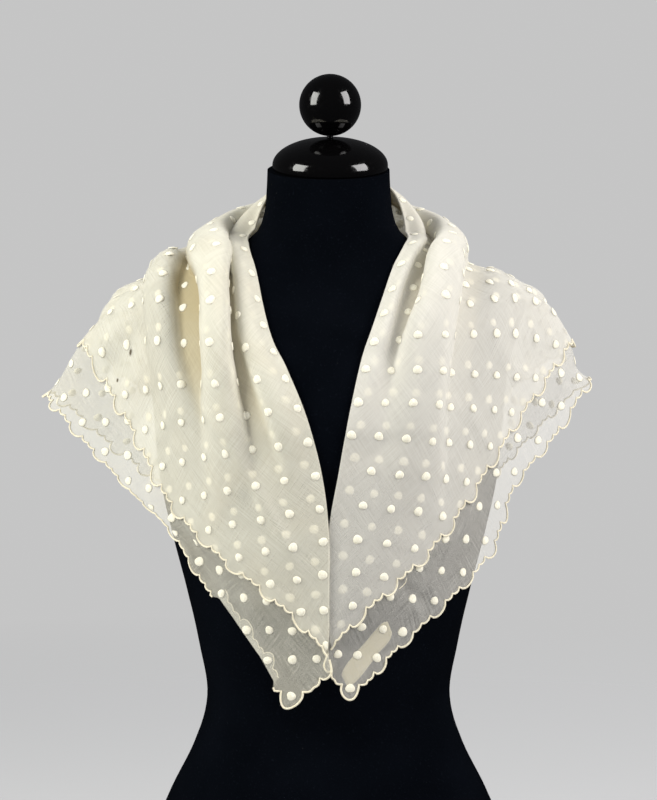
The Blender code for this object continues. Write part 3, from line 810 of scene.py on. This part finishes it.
def column_of(layer, u):
    """Flat places of one column, from the fold to the stitched edge."""
    start = fold_place(layer, u)
    base, edge = hem_places(layer, u)
    length = max(1e-6, np.linalg.norm(base - start))
    step = min(FOLD_ROW_STEP, length / (FOLD_ROWS + FIELD_ROWS))
    shares = [row * step / length for row in range(FOLD_ROWS)]
    shares += list(np.linspace(shares[-1], 1.0, FIELD_ROWS + 1)[1:])
    rows = [start + (base - start) * share for share in shares]
    rows += [base + (edge - base) * row / EDGE_ROWS for row in range(1, EDGE_ROWS + 1)]
    return np.array(rows)


def flat_columns(layer):
    """All columns of a layer, from the left end to the right."""
    last = UPPER_DOT_LINE if layer == "upper" else UNDER_DOT_LINE - FOLD_OFFSET - APEX_WIDTH
    count = int(last / COLUMN_STEP)
    stations = [-last] + [COLUMN_STEP * k for k in range(-count, count + 1)] + [last]
    columns = [column_of(layer, u) for u in stations]
    if layer == "under":
        for side in (-1, 1):
            near = columns[0] if side < 0 else columns[-1]
            dot = np.array((side * DOT_STEP * PERIODS, FOLD_OFFSET))
            turns = np.linspace(-CORNER_TURN, CORNER_TURN, len(near))
            reach = np.array([corner_reach(turn) for turn in turns])[:, None]
            arc = dot + reach * np.stack((side * np.cos(turns), np.sin(turns)), axis=-1)
            for step in range(1, CORNER_COLUMNS + 1):
                share = step / CORNER_COLUMNS
                made = near * (1.0 - share) + arc * share
                columns = [made] + columns if side < 0 else columns + [made]
    return np.array(columns)


plans = {layer: flat_columns(layer) for layer in ("upper", "under")}
for layer, plan in plans.items():
    print(layer, "layer:", plan.shape[0], "columns of", plan.shape[1], "rows")

# %% [markdown]
# Muslin is thin enough to see through. Its cover is therefore a number below one in the
# shader's Alpha, a little higher along the thicker threads. Those threads are the fine
# streaks that cross the cloth at 45 degrees to the fold. They follow the cloth's own UV
# map, which holds the flat plan, so they bend with every fold. Weave this fine is far
# too small to model, and bump and streaks are the right tool for it. The cloth covers
# more where it is gathered to the neck. Down in the folds its threads crowd, and shade is
# painted into its colour there as a warm ochre, so each piece also stores how deep in a
# valley it lies. The cloth is not one even cream either: its left side is warmer, and it
# turns paler towards its right end, where a painted shade then makes it greyer.
# %% Muslin
UV_SPAN = 1300.0                            # mm of flat plan across the UV map
WARP = (1.7, 0.024, 2.0)                    # streaks for each mm across and along, and a shift
WEFT = (0.032, 1.9, 9.0)
SHADED_THREADS = (0.60, 1.40)               # sums of both streaks from the darker to the lighter
COVERING_THREADS = (0.65, 1.35)             # and from the thinner to the thicker
WARM_TONE = (0.84, 0.77, 0.60)
WARM_CLOUDS = (0.45, 0.75)
WARM_SHARE = 0.35
SPECKS = ((-280.0, 216.0, 2.2), (-292.0, 234.0, 1.6), (-133.0, 87.0, 2.2))     # u, v, radius
SPECK_TONE = (0.10, 0.08, 0.05)
VALLEY_SHADE = (2.0, 14.0)                  # valley depths where the shade starts and is full
# painted shade: the warm ochre that the colour turns to down in the valleys
PAINTED_VALLEY_SHADE = (0.50, 0.425, 0.255)
VALLEY_COVER = 0.30                         # more cover there too, as the gathered threads crowd
GATHER_COVER = 0.14                         # more cover where the cloth is gathered to the neck
GATHER_ENDS = (260.0, 400.0)
GATHER_ROWS = (85.0, 160.0)
PALE_SIDE = (-60.0, 260.0)                  # u where the cloth starts to be paler, and where it is
PALE_TONE = (0.87, 0.845, 0.79)
# painted shade: towards its right end the cloth is darkened to grey
RIGHT_END_SHADE_SPAN = (340.0, 520.0)                  # towards the right end the cloth is greyer
RIGHT_END_SHADE = (0.71, 0.69, 0.63)
WEAVE_BUMP = (0.08, 0.0003)                 # strength and height


def plan_place(tree):
    """The place on the flat plan in mm, from the cloth's UV map."""
    plan_map = node(tree, "ShaderNodeUVMap", uv_map="flat_plan").outputs[0]
    half = UV_SPAN * 0.5
    return node(tree, "ShaderNodeMapping", Vector=plan_map, Location=(-half, -half, 0.0),
                Scale=(UV_SPAN, UV_SPAN, 1.0)).outputs[0]


def near_neck(tree, plan, ends, rows):
    """1 at the middle of the fold, down to 0 between two places along it and across it."""
    u, v = node(tree, "ShaderNodeSeparateXYZ", Vector=plan).outputs[:2]
    along = ranged(tree, combined(tree, "ABSOLUTE", u), ends, (1.0, 0.0))
    return combined(tree, "MULTIPLY", along, ranged(tree, v, rows, (1.0, 0.0)))


def thread_streaks(tree, grain, across, along, shift):
    """Long thin streaks, as wide as a thread and as long as a hand."""
    stretched = node(tree, "ShaderNodeMapping", Vector=grain, Location=(0.0, 0.0, shift),
                     Scale=(across, along, 1.0)).outputs[0]
    return node(tree, "ShaderNodeTexNoise", Vector=stretched, Scale=1.0, Detail=2.0,
                Roughness=0.6).outputs[0]


def both_ways(tree, plan):
    """The streaks of warp and weft together, at 45 degrees to the fold."""
    grain = node(tree, "ShaderNodeMapping", Vector=plan, Rotation=(0.0, 0.0, math.radians(45))).outputs[0]
    return combined(tree, "ADD", thread_streaks(tree, grain, *WARP), thread_streaks(tree, grain, *WEFT))


def cream(tree, plan, threads, light, dark, uneven):
    """The cloth's colour before its painted valley shade: warm in clouds, paler to the right, greyer at
    its right end as painted shade.
    """
    tone = mixed(tree, ranged(tree, threads, SHADED_THREADS), dark, light)
    clouds = ranged(tree, cloudy(tree, plan, 0.022, 3.0), WARM_CLOUDS, (0.0, WARM_SHARE))
    tone = mixed(tree, clouds, tone, WARM_TONE)
    side = node(tree, "ShaderNodeSeparateXYZ", Vector=plan).outputs[0]
    tone = mixed(tree, ranged(tree, side, PALE_SIDE, (0.0, uneven)), tone, PALE_TONE)
    # painted shade: the cloth turns darker grey towards its right end
    return mixed(tree, ranged(tree, side, RIGHT_END_SHADE_SPAN, (0.0, uneven)), tone, RIGHT_END_SHADE)


def make_muslin(name, thin, thick, light, dark, specks=(), uneven=0.6):
    """Sheer cotton: cover from thin to thick, colour from light to dark; uneven sets how much paler and,
    as painted shade, greyer it turns to the right.
    """
    material, tree, shader = new_material(name, light, 0.88, Sheen_Weight=0.25, Sheen_Roughness=0.4,
                                          Specular_IOR_Level=0.25)
    plan = plan_place(tree)
    threads = both_ways(tree, plan)
    deep = node(tree, "ShaderNodeAttribute", attribute_name="valley").outputs["Fac"]
    tone = cream(tree, plan, threads, light, dark, uneven)
    # painted shade: down in the valleys the colour darkens to a warm ochre
    tone = mixed(tree, ranged(tree, deep, VALLEY_SHADE), tone, PAINTED_VALLEY_SHADE)
    gathered = combined(tree, "MULTIPLY", near_neck(tree, plan, GATHER_ENDS, GATHER_ROWS), GATHER_COVER)
    cover = combined(tree, "ADD", ranged(tree, threads, COVERING_THREADS, (thin, thick)), gathered)
    cover = combined(tree, "ADD", cover, ranged(tree, deep, VALLEY_SHADE, (0.0, VALLEY_COVER)))
    for u, v, radius in specks:
        away = node(tree, "ShaderNodeVectorMath", operation="DISTANCE", i0=plan, i1=(u, v, 0.0))
        mark = ranged(tree, away.outputs["Value"], (radius * 0.5, radius), (1.0, 0.0))
        tone = mixed(tree, mark, tone, SPECK_TONE)
        cover = combined(tree, "MAXIMUM", cover, mark)
    tree.links.new(tone, shader.inputs["Base Color"])
    tree.links.new(cover, shader.inputs["Alpha"])
    bumped(tree, shader, threads, *WEAVE_BUMP)
    return material


CREAM_LIGHT = (0.89, 0.865, 0.745)
CREAM_DARK = (0.84, 0.81, 0.675)
muslin_upper = make_muslin("muslin_upper", 0.26, 0.40, CREAM_LIGHT, CREAM_DARK, SPECKS)
muslin_under = make_muslin("muslin_under", 0.10, 0.34, CREAM_LIGHT, CREAM_DARK)
print("muslin for both layers")

# %% Wrap the two layers
LAYER_OFFSET = {"upper": 0.95, "under": -0.95}
CLOTH_WALL = 0.4
FOLD_TURNS = (180, 150, 120, 90, 60, 30)    # degrees by which the rows go round the fold edge
CURL = 2.6
CURL_ROWS = EDGE_ROWS + 3
CURL_SHARE = {"upper": 1.0, "under": -0.5}
LEAST_WAVE = -0.25
LEAST_CURL = -0.6


def hem_lift(layer, plan):
    """Height of a layer over the surface; its stitched edge lifts or dips from lobe to lobe."""
    rise = np.zeros(plan.shape[:2])
    for index, column in enumerate(plan):
        u = column[-1][0]
        wave = waver(u, 17.0, (5.0, 1.0)) + 0.6 * waver(u, 60.0, (2.0, 7.0))
        for back in range(CURL_ROWS):
            share = 1.0 - back / CURL_ROWS
            rise[index, -1 - back] = CURL * share * share * max(LEAST_WAVE, wave)
    return LAYER_OFFSET[layer] + CURL_SHARE[layer] * np.maximum(rise, LEAST_CURL)


def add_flat_uv(mesh, places):
    """Store the flat plan as a UV map, given each vertex's flat place."""
    layer = mesh.loops.layers.uv.new("flat_plan")
    for face in mesh.faces:
        for loop in face.loops:
            u, v = places[loop.vert.index]
            loop[layer].uv = (u / UV_SPAN + 0.5, v / UV_SPAN + 0.5)


def wrapped_grid(plan, points, depth):
    """A grid of faces through points, one for each flat place, with its valley depth."""
    columns, rows = plan.shape[:2]
    mesh = bmesh.new()
    bmesh.ops.create_grid(mesh, x_segments=columns - 1, y_segments=rows - 1, size=1.0)
    mesh.verts.ensure_lookup_table()
    flat = [None] * len(mesh.verts)
    valley = mesh.verts.layers.float.new("valley")
    for vert in mesh.verts:
        column = round(0.5 * (vert.co.x + 1.0) * (columns - 1))
        row = round(0.5 * (vert.co.y + 1.0) * (rows - 1))
        vert.co = Vector(points[column, row]) * MM
        flat[vert.index] = plan[column, row]
        vert[valley] = depth[column, row]
    add_flat_uv(mesh, flat)
    return mesh


def with_wall(piece, thickness):
    """Give a sheet its thickness."""
    wall = piece.modifiers.new("wall", "SOLIDIFY")
    wall.thickness = thickness * MM
    wall.offset = 0.0
    wall.use_even_offset = False
    return piece


def rolled_fold(plan):
    """Rows that carry the upper layer round the fold edge and under it."""
    edge = on_cloth("upper", plan[:, 0])
    out = on_cloth("upper", plan[:, 0], 1.0) - edge
    inward = unit(on_cloth("upper", plan[:, 1]) - edge)
    rows = [edge + (out * math.cos(turn) - inward * math.sin(turn)) * LAYER_OFFSET["upper"]
            for turn in np.radians(FOLD_TURNS)]
    return np.stack(rows, axis=1)


def wrap_layer(layer, material, node_name):
    """One layer of the folded square, as a thin wall on the cloth's surface."""
    plan = plans[layer]
    points = on_cloth(layer, plan, hem_lift(layer, plan))
    if layer == "upper":
        points = np.concatenate([rolled_fold(plan), points], axis=1)
        plan = np.concatenate([np.repeat(plan[:, :1], len(FOLD_TURNS), axis=1), plan], axis=1)
    mesh = wrapped_grid(plan, points, depth_at(layer, plan))
    piece = finished(node_name + "_muslin", mesh, material)
    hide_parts(node_name)
    return with_wall(piece, CLOTH_WALL)


upper_layer = wrap_layer("upper", muslin_upper, "fichu_upper_layer")
under_layer = wrap_layer("under", muslin_under, "fichu_under_layer")

# %% [markdown]
# The edge is oversewn with buttonhole stitch in a thicker thread, which makes a firm
# rounded cord round every scallop. A curve with a round bevel, laid on the last row of
# each layer and turned into a mesh, gives just that. Stitches are a millimetre apart, so
# they are left to the bump of the thread's material. The dots are of a paler thread. On
# the inside of the collar they are seen from behind and in shade, which is painted into
# their colour as small dark marks.
# %% Buttonhole edge
EDGE_CORD = 0.95                            # radius
EDGE_TONES = ((0.84, 0.78, 0.61), (0.72, 0.65, 0.47))
DOT_TONES = ((0.885, 0.85, 0.71), (0.77, 0.725, 0.57))
# painted shade: the dark brown of the dots inside the collar
PAINTED_COLLAR_SHADE = (0.16, 0.11, 0.06)
COLLAR_BLEND = 10.0                         # mm over which a dot's tone changes to it
THREAD_GRAIN = 700.0
THREAD_BUMP = (0.6, 0.0005)


def make_thread(name, tones, collar_shade=None):
    """Cotton thread laid in close stitches, with a painted shade inside the collar if it is given one."""
    material, tree, shader = new_material(name, tones[0], 0.8, Sheen_Weight=0.2, Specular_IOR_Level=0.3)
    grain = cloudy(tree, object_place(tree), THREAD_GRAIN, 2.0)
    tone = mixed(tree, ranged(tree, grain, (0.35, 0.65)), tones[1], tones[0])
    # painted shade on the dots inside the collar
    if collar_shade:
        ends, rows = ((span[0], span[0] + COLLAR_BLEND) for span in (COLLAR_ENDS, COLLAR_ROWS))
        tone = mixed(tree, near_neck(tree, plan_place(tree), ends, rows), tone, collar_shade)
    tree.links.new(tone, shader.inputs["Base Color"])
    bumped(tree, shader, grain, *THREAD_BUMP)
    return material


edge_thread = make_thread("edge_thread", EDGE_TONES)
dot_thread = make_thread("dot_thread", DOT_TONES)
inner_thread = make_thread("inner_thread", DOT_TONES, PAINTED_COLLAR_SHADE)


def cord_along(name, points, radius, material, sides=2):
    """A round cord through points given in mm."""
    curve = bpy.data.curves.new(name, "CURVE")
    curve.dimensions = "3D"
    curve.bevel_depth = radius * MM
    curve.bevel_resolution = sides
    curve.use_fill_caps = True
    spline = curve.splines.new("POLY")
    spline.points.add(len(points) - 1)
    for point, place in zip(spline.points, points):
        point.co = (*(Vector(place) * MM), 1.0)
    holder = bpy.data.objects.new(name + "_route", curve)
    bpy.context.scene.collection.objects.link(holder)
    bpy.context.view_layer.update()
    mesh = bmesh.new()
    mesh.from_mesh(bpy.data.meshes.new_from_object(holder))
    bpy.data.objects.remove(holder, do_unlink=True)
    bmesh.ops.recalc_face_normals(mesh, faces=mesh.faces)
    return finished(name, mesh, material)


def hem_line(layer):
    """The stitched edge of a layer, in one run or two, from the left end to the right."""
    plan = plans[layer]
    points = on_cloth(layer, plan, hem_lift(layer, plan))
    if layer == "upper":
        return [points[:, -1]]
    short = {side: [column[0] for column, flat in zip(points, plan)
                    if flat[0][0] * side > HALF_FOLD - 0.5] for side in (-1, 1)}
    corner = {-1: points[0], 1: points[-1]}
    edge = [column[-1] for column in points[1:-1]]
    line = short[-1][::-1][:-1] + list(corner[-1]) + edge + list(corner[1][::-1]) + short[1][::-1][1:]
    turned = [index for index, column in enumerate(plan[1:-1])
              if turned_share(column[-EDGE_ROWS - 1][0]) > 0.5]
    start = len(short[-1]) - 1 + len(corner[-1])
    return [np.array(line[:start + turned[0]]), np.array(line[start + turned[-1] + 1:])]


for layer in ("upper", "under"):
    for number, line in enumerate(hem_line(layer), 1):
        cord_along(f"{layer}_edging_{number}", line, EDGE_CORD, edge_thread)

# %% [markdown]
# Nine hundred raised dots are worked in satin stitch. Each is a low round cushion of a
# few dozen faces, copied from one small drum and laid on the cloth by the same lookup as
# everything else, so a dot bends where the cloth bends. Hand work is uneven, so each dot
# differs a little in size, in roundness and in height.
# %% Embroidered dots
DOT_SIDES = 12
DOT_RADIUS = 4.25
DOT_TOP = (0.78, 0.8)                       # radius and height of the shoulder, as shares
DOT_HEIGHT = {"upper": 0.85, "under": 0.65}
DOT_BACK = 0.35                             # how far its back stands into the cloth
DOT_LIFT = 0.1
DOT_SIZES = (0.92, 1.08)                    # shares of the radius
DOT_OVALS = (0.88, 1.0)                     # short radius as a share of the long one
DOT_RISES = (0.85, 1.15)                    # shares of the height
DOT_STRAY = 0.6                             # farthest that a dot is off its place
DOT_WOBBLE = 0.05
DOT_SLACK = 1.0                             # mm that a dot may be past the outermost line
FOLD_CLEARANCE = 0.8 * DOT_RADIUS           # nearer to the fold there is no dot
FOLD_SKEW = (
    # u, and how far the row of dots beside the fold is off its lattice
    (-540, 5.0), (-300, 5.0), (0, 7.0), (225, 8.5), (300, 5.5), (370, 4.0), (435, -2.0), (540, -4.0),
)
dice = random.Random(11)


def dot_places(layer):
    """Lattice places of a layer's dots."""
    places = []
    line = UPPER_DOT_LINE if layer == "upper" else UNDER_DOT_LINE
    for across in range(PERIODS + 2):
        for along in range(-PERIODS, PERIODS + 1):
            u = along * DOT_STEP
            v = (across + (0.0 if layer == "upper" else 0.5)) * DOT_STEP
            if abs(u) + v > line + DOT_SLACK:
                continue
            if layer == "under" and abs(u) - v > SHORT_DOT_LINE + DOT_SLACK:
                continue
            if layer == "upper":
                v += float(smooth_rows(FOLD_SKEW, u)[0]) * (1.0 - v / (line - abs(u) + DOT_STEP))
                if v < FOLD_CLEARANCE:
                    continue
            places.append((u, v))
    return places


STRETCH_PROBE = 3.0
STRETCH_LIMITS = (0.6, 1.5)
SHEAR_LIMIT = 0.8


def cloth_slope(layer, places, step):
    """How far a point of the cloth moves for each millimetre that its place moves."""
    before = np.maximum(places - step, (-HALF_DIAGONAL, 0.0))
    return (on_cloth(layer, places + step) - on_cloth(layer, before)) / (2.0 * STRETCH_PROBE)


def cloth_stretch(layer, places):
    """How a millimetre of the plan lies on the cloth: length along u, shear, length across."""
    places = np.array(places)
    along = cloth_slope(layer, places, (STRETCH_PROBE, 0.0))
    across = cloth_slope(layer, places, (0.0, STRETCH_PROBE))
    length = np.maximum(np.linalg.norm(along, axis=-1), 0.1)
    shear = np.sum(along * across, axis=-1) / length
    width = np.linalg.norm(across - along * (shear / length)[:, None], axis=-1)
    return np.stack([np.clip(length, *STRETCH_LIMITS), np.clip(shear, -SHEAR_LIMIT, SHEAR_LIMIT),
                     np.clip(width, *STRETCH_LIMITS)], axis=-1)


def dot_drum():
    """One stitched dot of radius 1, whose face stands 1 out and whose back 1 in."""
    drum = bmesh.new()
    radius, shoulder = DOT_TOP
    bmesh.ops.create_cone(drum, cap_ends=True, cap_tris=True, segments=DOT_SIDES, radius1=1.0,
                          radius2=radius, depth=shoulder,
                          matrix=Matrix.Translation((0.0, 0.0, 0.5 * shoulder)))
    for vert in drum.verts:
        if vert.co.xy.length < 0.5 * radius:
            vert.co.z = 1.0 if vert.co.z > 0.5 * shoulder else -1.0
    data = bpy.data.meshes.new("dot_drum")
    drum.to_mesh(data)
    drum.free()
    return data


def stitched_dots(layer, drum):
    """All dots of a layer in one mesh."""
    mesh = bmesh.new()
    flat = []
    lifts = []
    places = dot_places(layer)
    for (u, v), (length, shear, width) in zip(places, cloth_stretch(layer, places)):
        start = len(mesh.verts)
        mesh.from_mesh(drum)
        mesh.verts.ensure_lookup_table()
        turn = dice.uniform(0.0, math.pi)
        long = DOT_RADIUS * dice.uniform(*DOT_SIZES)
        short = long * dice.uniform(*DOT_OVALS)
        height = DOT_HEIGHT[layer] * dice.uniform(*DOT_RISES)
        u += dice.uniform(-DOT_STRAY, DOT_STRAY)
        v += dice.uniform(-DOT_STRAY, DOT_STRAY)
        for vert in mesh.verts[start:]:
            wobble = 1.0 + DOT_WOBBLE * math.sin(3.0 * math.atan2(vert.co.y, vert.co.x) + turn * 2.0)
            x, y = vert.co.x * long * wobble, vert.co.y * short * wobble
            up = (x * math.sin(turn) + y * math.cos(turn)) / width
            flat.append((u + (x * math.cos(turn) - y * math.sin(turn) - shear * up) / length, v + up))
            lifts.append(vert.co.z * (height if vert.co.z > 0 else DOT_BACK))
    points = on_cloth(layer, np.array(flat), np.array(lifts) + LAYER_OFFSET[layer] + DOT_LIFT)
    for vert, point in zip(mesh.verts, points):
        vert.co = Vector(point) * MM
    mesh.verts.index_update()
    add_flat_uv(mesh, flat)
    print(layer, "dots:", len(places))
    return finished(f"{layer}_dots", mesh, dot_thread if layer == "upper" else inner_thread)


drum = dot_drum()
dots = {layer: stitched_dots(layer, drum) for layer in ("upper", "under")}

# %% [markdown]
# The kerchief has three small marks of use. One stretch of the hem at the left front is
# turned under and lies double, a short strip near the right corner is darned, so it
# covers more, and one thread end hangs loose. Each is a narrow sheet or cord laid on the
# same surface. A picture of them on the muslin would do from afar, but it would not lift
# off the cloth or cast a shade.
# %% Turned hem, darn and loose thread
TURNED_COLUMNS = 64
TURNED_LIFTS = (-1.35, -1.75, -1.8, -1.8, -1.8)
TURNED_CORD = 0.45 * EDGE_CORD
DARN = ((522.0, 78.0), (573.0, 33.0))       # its middle line on the flat plan
DARN_HALF_WIDTH = 9.5
DARN_EASE = 1.2                             # mm of plan for each mm that is seen across it
DARN_ROWS = 20
DARN_COLUMNS = 6
DARN_ROUND = 0.4                            # how much the strip narrows at its ends
DARN_SQUARE = 10                            # the larger, the later it narrows
DARN_LIFT = -1.5
LOOSE_THREAD = ((466.0, 78.0), (470.0, 84.0), (473.0, 92.0), (476.0, 97.0))
LOOSE_LIFTS = (1.0, 2.5, 3.5, 3.0)
LOOSE_RADIUS = 0.3


def laid_strip(name, plan, points, material):
    """A narrow sheet of cloth through points, with its wall."""
    mesh = wrapped_grid(plan, points, np.zeros(plan.shape[:2]))
    bmesh.ops.recalc_face_normals(mesh, faces=mesh.faces)
    return with_wall(finished(name, mesh, material), CLOTH_WALL)


def turned_strip():
    """The scalloped edge where it lies turned under, seen through the layer before it."""
    plan = []
    out = np.array((-1.0, 1.0)) / ROOT_TWO
    for u in np.linspace(*TURNED, TURNED_COLUMNS):
        reach = 2.0 * TURNED_REACH - scallop(abs(u) * ROOT_TWO)
        rows = np.linspace(TURNED_REACH, reach, len(TURNED_LIFTS))
        plan.append([np.array((u, UNDER_DOT_LINE - abs(u))) + out * row for row in rows])
    plan = np.array(plan)
    points = on_cloth("under", plan, np.broadcast_to(TURNED_LIFTS, plan.shape[:2]))
    strip = laid_strip("turned_hem", plan, points, muslin_under)
    cord_along("under_edging_turned", points[:, -1], TURNED_CORD, edge_thread)
    return strip


def darned_patch():
    """A short closely darned strip beside the right corner."""
    start, end = (np.array(place) for place in DARN)
    along = (end - start) / np.linalg.norm(end - start)
    aside = np.array((-along[1], along[0]))
    plan = []
    for step in range(DARN_ROWS + 1):
        share = 2.0 * step / DARN_ROWS - 1.0
        half = DARN_HALF_WIDTH * DARN_EASE * (1.0 - DARN_ROUND * abs(share) ** DARN_SQUARE)
        middle = start + (end - start) * step / DARN_ROWS
        plan.append([middle + aside * half * side for side in np.linspace(-1.0, 1.0, DARN_COLUMNS + 1)])
    plan = np.array(plan)
    return laid_strip("darn", plan, on_cloth("under", plan, DARN_LIFT), darned_muslin)


darned_muslin = make_muslin("darned_muslin", 0.46, 0.66, (0.80, 0.73, 0.48), (0.68, 0.61, 0.37),
                            uneven=0.0)
turned_hem = turned_strip()
darn = darned_patch()
thread_points = on_cloth("upper", np.array(LOOSE_THREAD), np.array(LOOSE_LIFTS))
loose_thread = cord_along("loose_thread", thread_points, LOOSE_RADIUS, edge_thread, 1)

# %% [markdown]
# The dress form is a padded torso covered in dark jersey, closed below by a flat base.
# It could be sculpted, but its outline is fully described by the sections that the cloth
# already uses. So one ring of points is extruded up level by level, and the same curve
# that shaped the cloth's support shapes it. The top leans forward, as the neck does.
# %% Dress form
FORM_SIDES = 96
LEVEL_STEP = 7.0
NECK_TILT = math.radians(11)
NECK_TILT_START = 625.0
FORM_CREASE = math.radians(50)              # the underside and the neck's top keep sharp rims
JERSEY = (0.0018, 0.0024, 0.0042)
JERSEY_TONES = ((0.0008, 0.0013, 0.0024), (0.0016, 0.0023, 0.0040))
NAP_TONE = (0.007, 0.009, 0.014)
LINT_TONE = (0.10, 0.10, 0.10)
JERSEY_BUMP = (0.5, 0.0008)


def form_ring(level):
    """The form's outline at a level, in mm, tilted towards the front at the neck."""
    width, front, back = smooth_rows(FORM_SECTIONS, level)
    tilt = math.tan(NECK_TILT) * float(smooth_step(NECK_TILT_START, FORM_TOP, level))
    ring = []
    for side in range(FORM_SIDES):
        angle = 2.0 * math.pi * side / FORM_SIDES
        y = (back if math.sin(angle) > 0 else front) * math.sin(angle)
        ring.append(Vector((width * math.cos(angle), y, level + y * tilt)) * MM)
    return ring


def make_jersey():
    """Dark knitted cotton, nearly black, with a soft nap and a little lint."""
    material, tree, shader = new_material("jersey", JERSEY, 0.95, Specular_IOR_Level=0.02)
    place = object_place(tree)
    knit = cloudy(tree, place, 520.0, 3.0)
    patches = cloudy(tree, place, 14.0, 2.0)
    lint = node(tree, "ShaderNodeTexVoronoi", Vector=place, Scale=55.0).outputs["Distance"]
    tone = mixed(tree, ranged(tree, patches, (0.3, 0.7)), *JERSEY_TONES)
    tone = mixed(tree, ranged(tree, knit, (0.60, 0.75), (0.0, 0.35)), tone, NAP_TONE)
    tone = mixed(tree, ranged(tree, lint, (0.0, 0.030), (0.4, 0.0)), tone, LINT_TONE)
    tree.links.new(tone, shader.inputs["Base Color"])
    bumped(tree, shader, knit, *JERSEY_BUMP)
    return material


def rounded(place):
    """A point's place to the nearest micrometre, to find it again by."""
    return tuple(round(c, 6) for c in place)


def dress_form():
    """Torso and neck, one closed solid."""
    mesh = bmesh.new()
    made = bmesh.ops.create_circle(mesh, segments=FORM_SIDES, radius=1.0, cap_ends=True)
    ring = sorted(made["verts"], key=lambda vert: math.atan2(vert.co.y, vert.co.x) % (2 * math.pi))
    places = form_ring(0.0)
    for vert, place in zip(ring, places):
        vert.co = place
    edges = list(mesh.edges)
    count = round(FORM_TOP / LEVEL_STEP)
    for step in range(1, count + 1):
        made = bmesh.ops.extrude_edge_only(mesh, edges=edges)["geom"]
        edges = [part for part in made if isinstance(part, bmesh.types.BMEdge)]
        order = {rounded(place): side for side, place in enumerate(places)}
        places = form_ring(FORM_TOP * step / count)
        for vert in (part for part in made if isinstance(part, bmesh.types.BMVert)):
            vert.co = places[order[rounded(vert.co)]]
    bmesh.ops.contextual_create(mesh, geom=edges)
    bmesh.ops.recalc_face_normals(mesh, faces=mesh.faces)
    piece = finished("form_jersey", mesh, make_jersey())
    piece.data.set_sharp_from_angle(angle=FORM_CREASE)
    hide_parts("form_body")
    return piece


form = dress_form()

# %% [markdown]
# Cap and finial are turned wood under black lacquer. Each is a profile spun round the
# axis of the neck, as a lathe would make it. The lacquer is nearly black, smooth and has
# a clear coat, so almost all that is seen of it is the light that it mirrors.
# %% Cap and finial
CAP_RADIUS = 53.0
CAP_HEIGHT = 29.0
CAP_RIM = 4.0
RIM_ROUND = 1.4
RIM_CUT = 0.4                               # how far the rim's lower corner is taken off
STEM_RADIUS = 3.0
STEM_HEIGHT = 1.5
STEM_WAIST = 0.4
BALL_SEAT = 2.6                             # radius of the ball's flat seat
BALL_RADIUS = 28.3
CAP_OFFSET = 1.5                            # the neck's middle is this far to the right
SEAT_GAP = 0.3
TURNING_STEPS = 96
DOME_STEPS = 28
STEM_STEPS = 6
BALL_STEPS = 48
LACQUER_CREASE = math.radians(40)
LACQUER_BUMP = (0.10, 0.001)


def make_lacquer():
    """Black lacquer with the faint waves of a brushed coat."""
    material, tree, shader = new_material("lacquer", (0.0012, 0.0011, 0.0012), 0.07, Coat_Weight=0.2,
                                          Coat_Roughness=0.05, Specular_IOR_Level=0.38)
    place = object_place(tree)
    dust = cloudy(tree, place, 300.0, 2.0)
    tree.links.new(ranged(tree, dust, (0.4, 0.75), (0.05, 0.20)), shader.inputs["Roughness"])
    bumped(tree, shader, cloudy(tree, place, 38.0, 1.0), *LACQUER_BUMP)
    return material


def turned(name, profile, material, replaced):
    """A piece turned about the neck's axis from its profile of radius and height."""
    mesh = bmesh.new()
    points = [mesh.verts.new((radius * MM, 0.0, height * MM)) for radius, height in profile]
    edges = [mesh.edges.new(pair) for pair in zip(points, points[1:])]
    bmesh.ops.spin(mesh, geom=points + edges, cent=(0, 0, 0), axis=(0, 0, 1), angle=2 * math.pi,
                   steps=TURNING_STEPS, use_merge=True)
    bmesh.ops.remove_doubles(mesh, verts=mesh.verts, dist=0.01 * MM)
    bmesh.ops.recalc_face_normals(mesh, faces=mesh.faces)
    neck_top = Matrix.Translation((CAP_OFFSET * MM, 0.0, FORM_TOP * MM))
    tilted = neck_top @ Matrix.Rotation(NECK_TILT, 4, "X")
    bmesh.ops.transform(mesh, matrix=tilted, verts=mesh.verts)
    piece = finished(name, mesh, material)
    piece.data.set_sharp_from_angle(angle=LACQUER_CREASE)
    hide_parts(replaced)
    return piece


def cap_profile():
    """A flat seat, a rounded rim and a low dome."""
    rim = [(0.0, SEAT_GAP), (CAP_RADIUS - RIM_ROUND, SEAT_GAP),
           (CAP_RADIUS - RIM_CUT, SEAT_GAP + RIM_CUT), (CAP_RADIUS, SEAT_GAP + RIM_ROUND)]
    turns = [0.5 * math.pi * step / DOME_STEPS for step in range(DOME_STEPS + 1)]
    floor, height = SEAT_GAP + CAP_RIM, CAP_HEIGHT - CAP_RIM
    return rim + [(CAP_RADIUS * math.cos(turn), floor + height * math.sin(turn)) for turn in turns]


def stem_profile(floor):
    """A short waisted peg on a floor."""
    side = [(STEM_RADIUS - STEM_WAIST * math.sin(math.pi * step / STEM_STEPS),
             floor + STEM_HEIGHT * step / STEM_STEPS) for step in range(STEM_STEPS + 1)]
    return [(0.0, floor)] + side + [(0.0, floor + STEM_HEIGHT)]


def ball_profile(floor):
    """A ball with a small flat seat on a floor."""
    seat = math.asin(BALL_SEAT / BALL_RADIUS)
    middle = floor + BALL_RADIUS * math.cos(seat)
    return [(0.0, floor)] + [(BALL_RADIUS * math.sin(turn), middle - BALL_RADIUS * math.cos(turn))
                             for turn in np.linspace(seat, math.pi, BALL_STEPS)]


lacquer = make_lacquer()
stem_floor = SEAT_GAP + CAP_HEIGHT + SEAT_GAP
ball_floor = stem_floor + STEM_HEIGHT + SEAT_GAP
turned("cap_lacquer", cap_profile(), lacquer, "neck_cap")
turned("stem_lacquer", stem_profile(stem_floor), lacquer, "finial_stem")
turned("ball_lacquer", ball_profile(ball_floor), lacquer, "finial_ball")
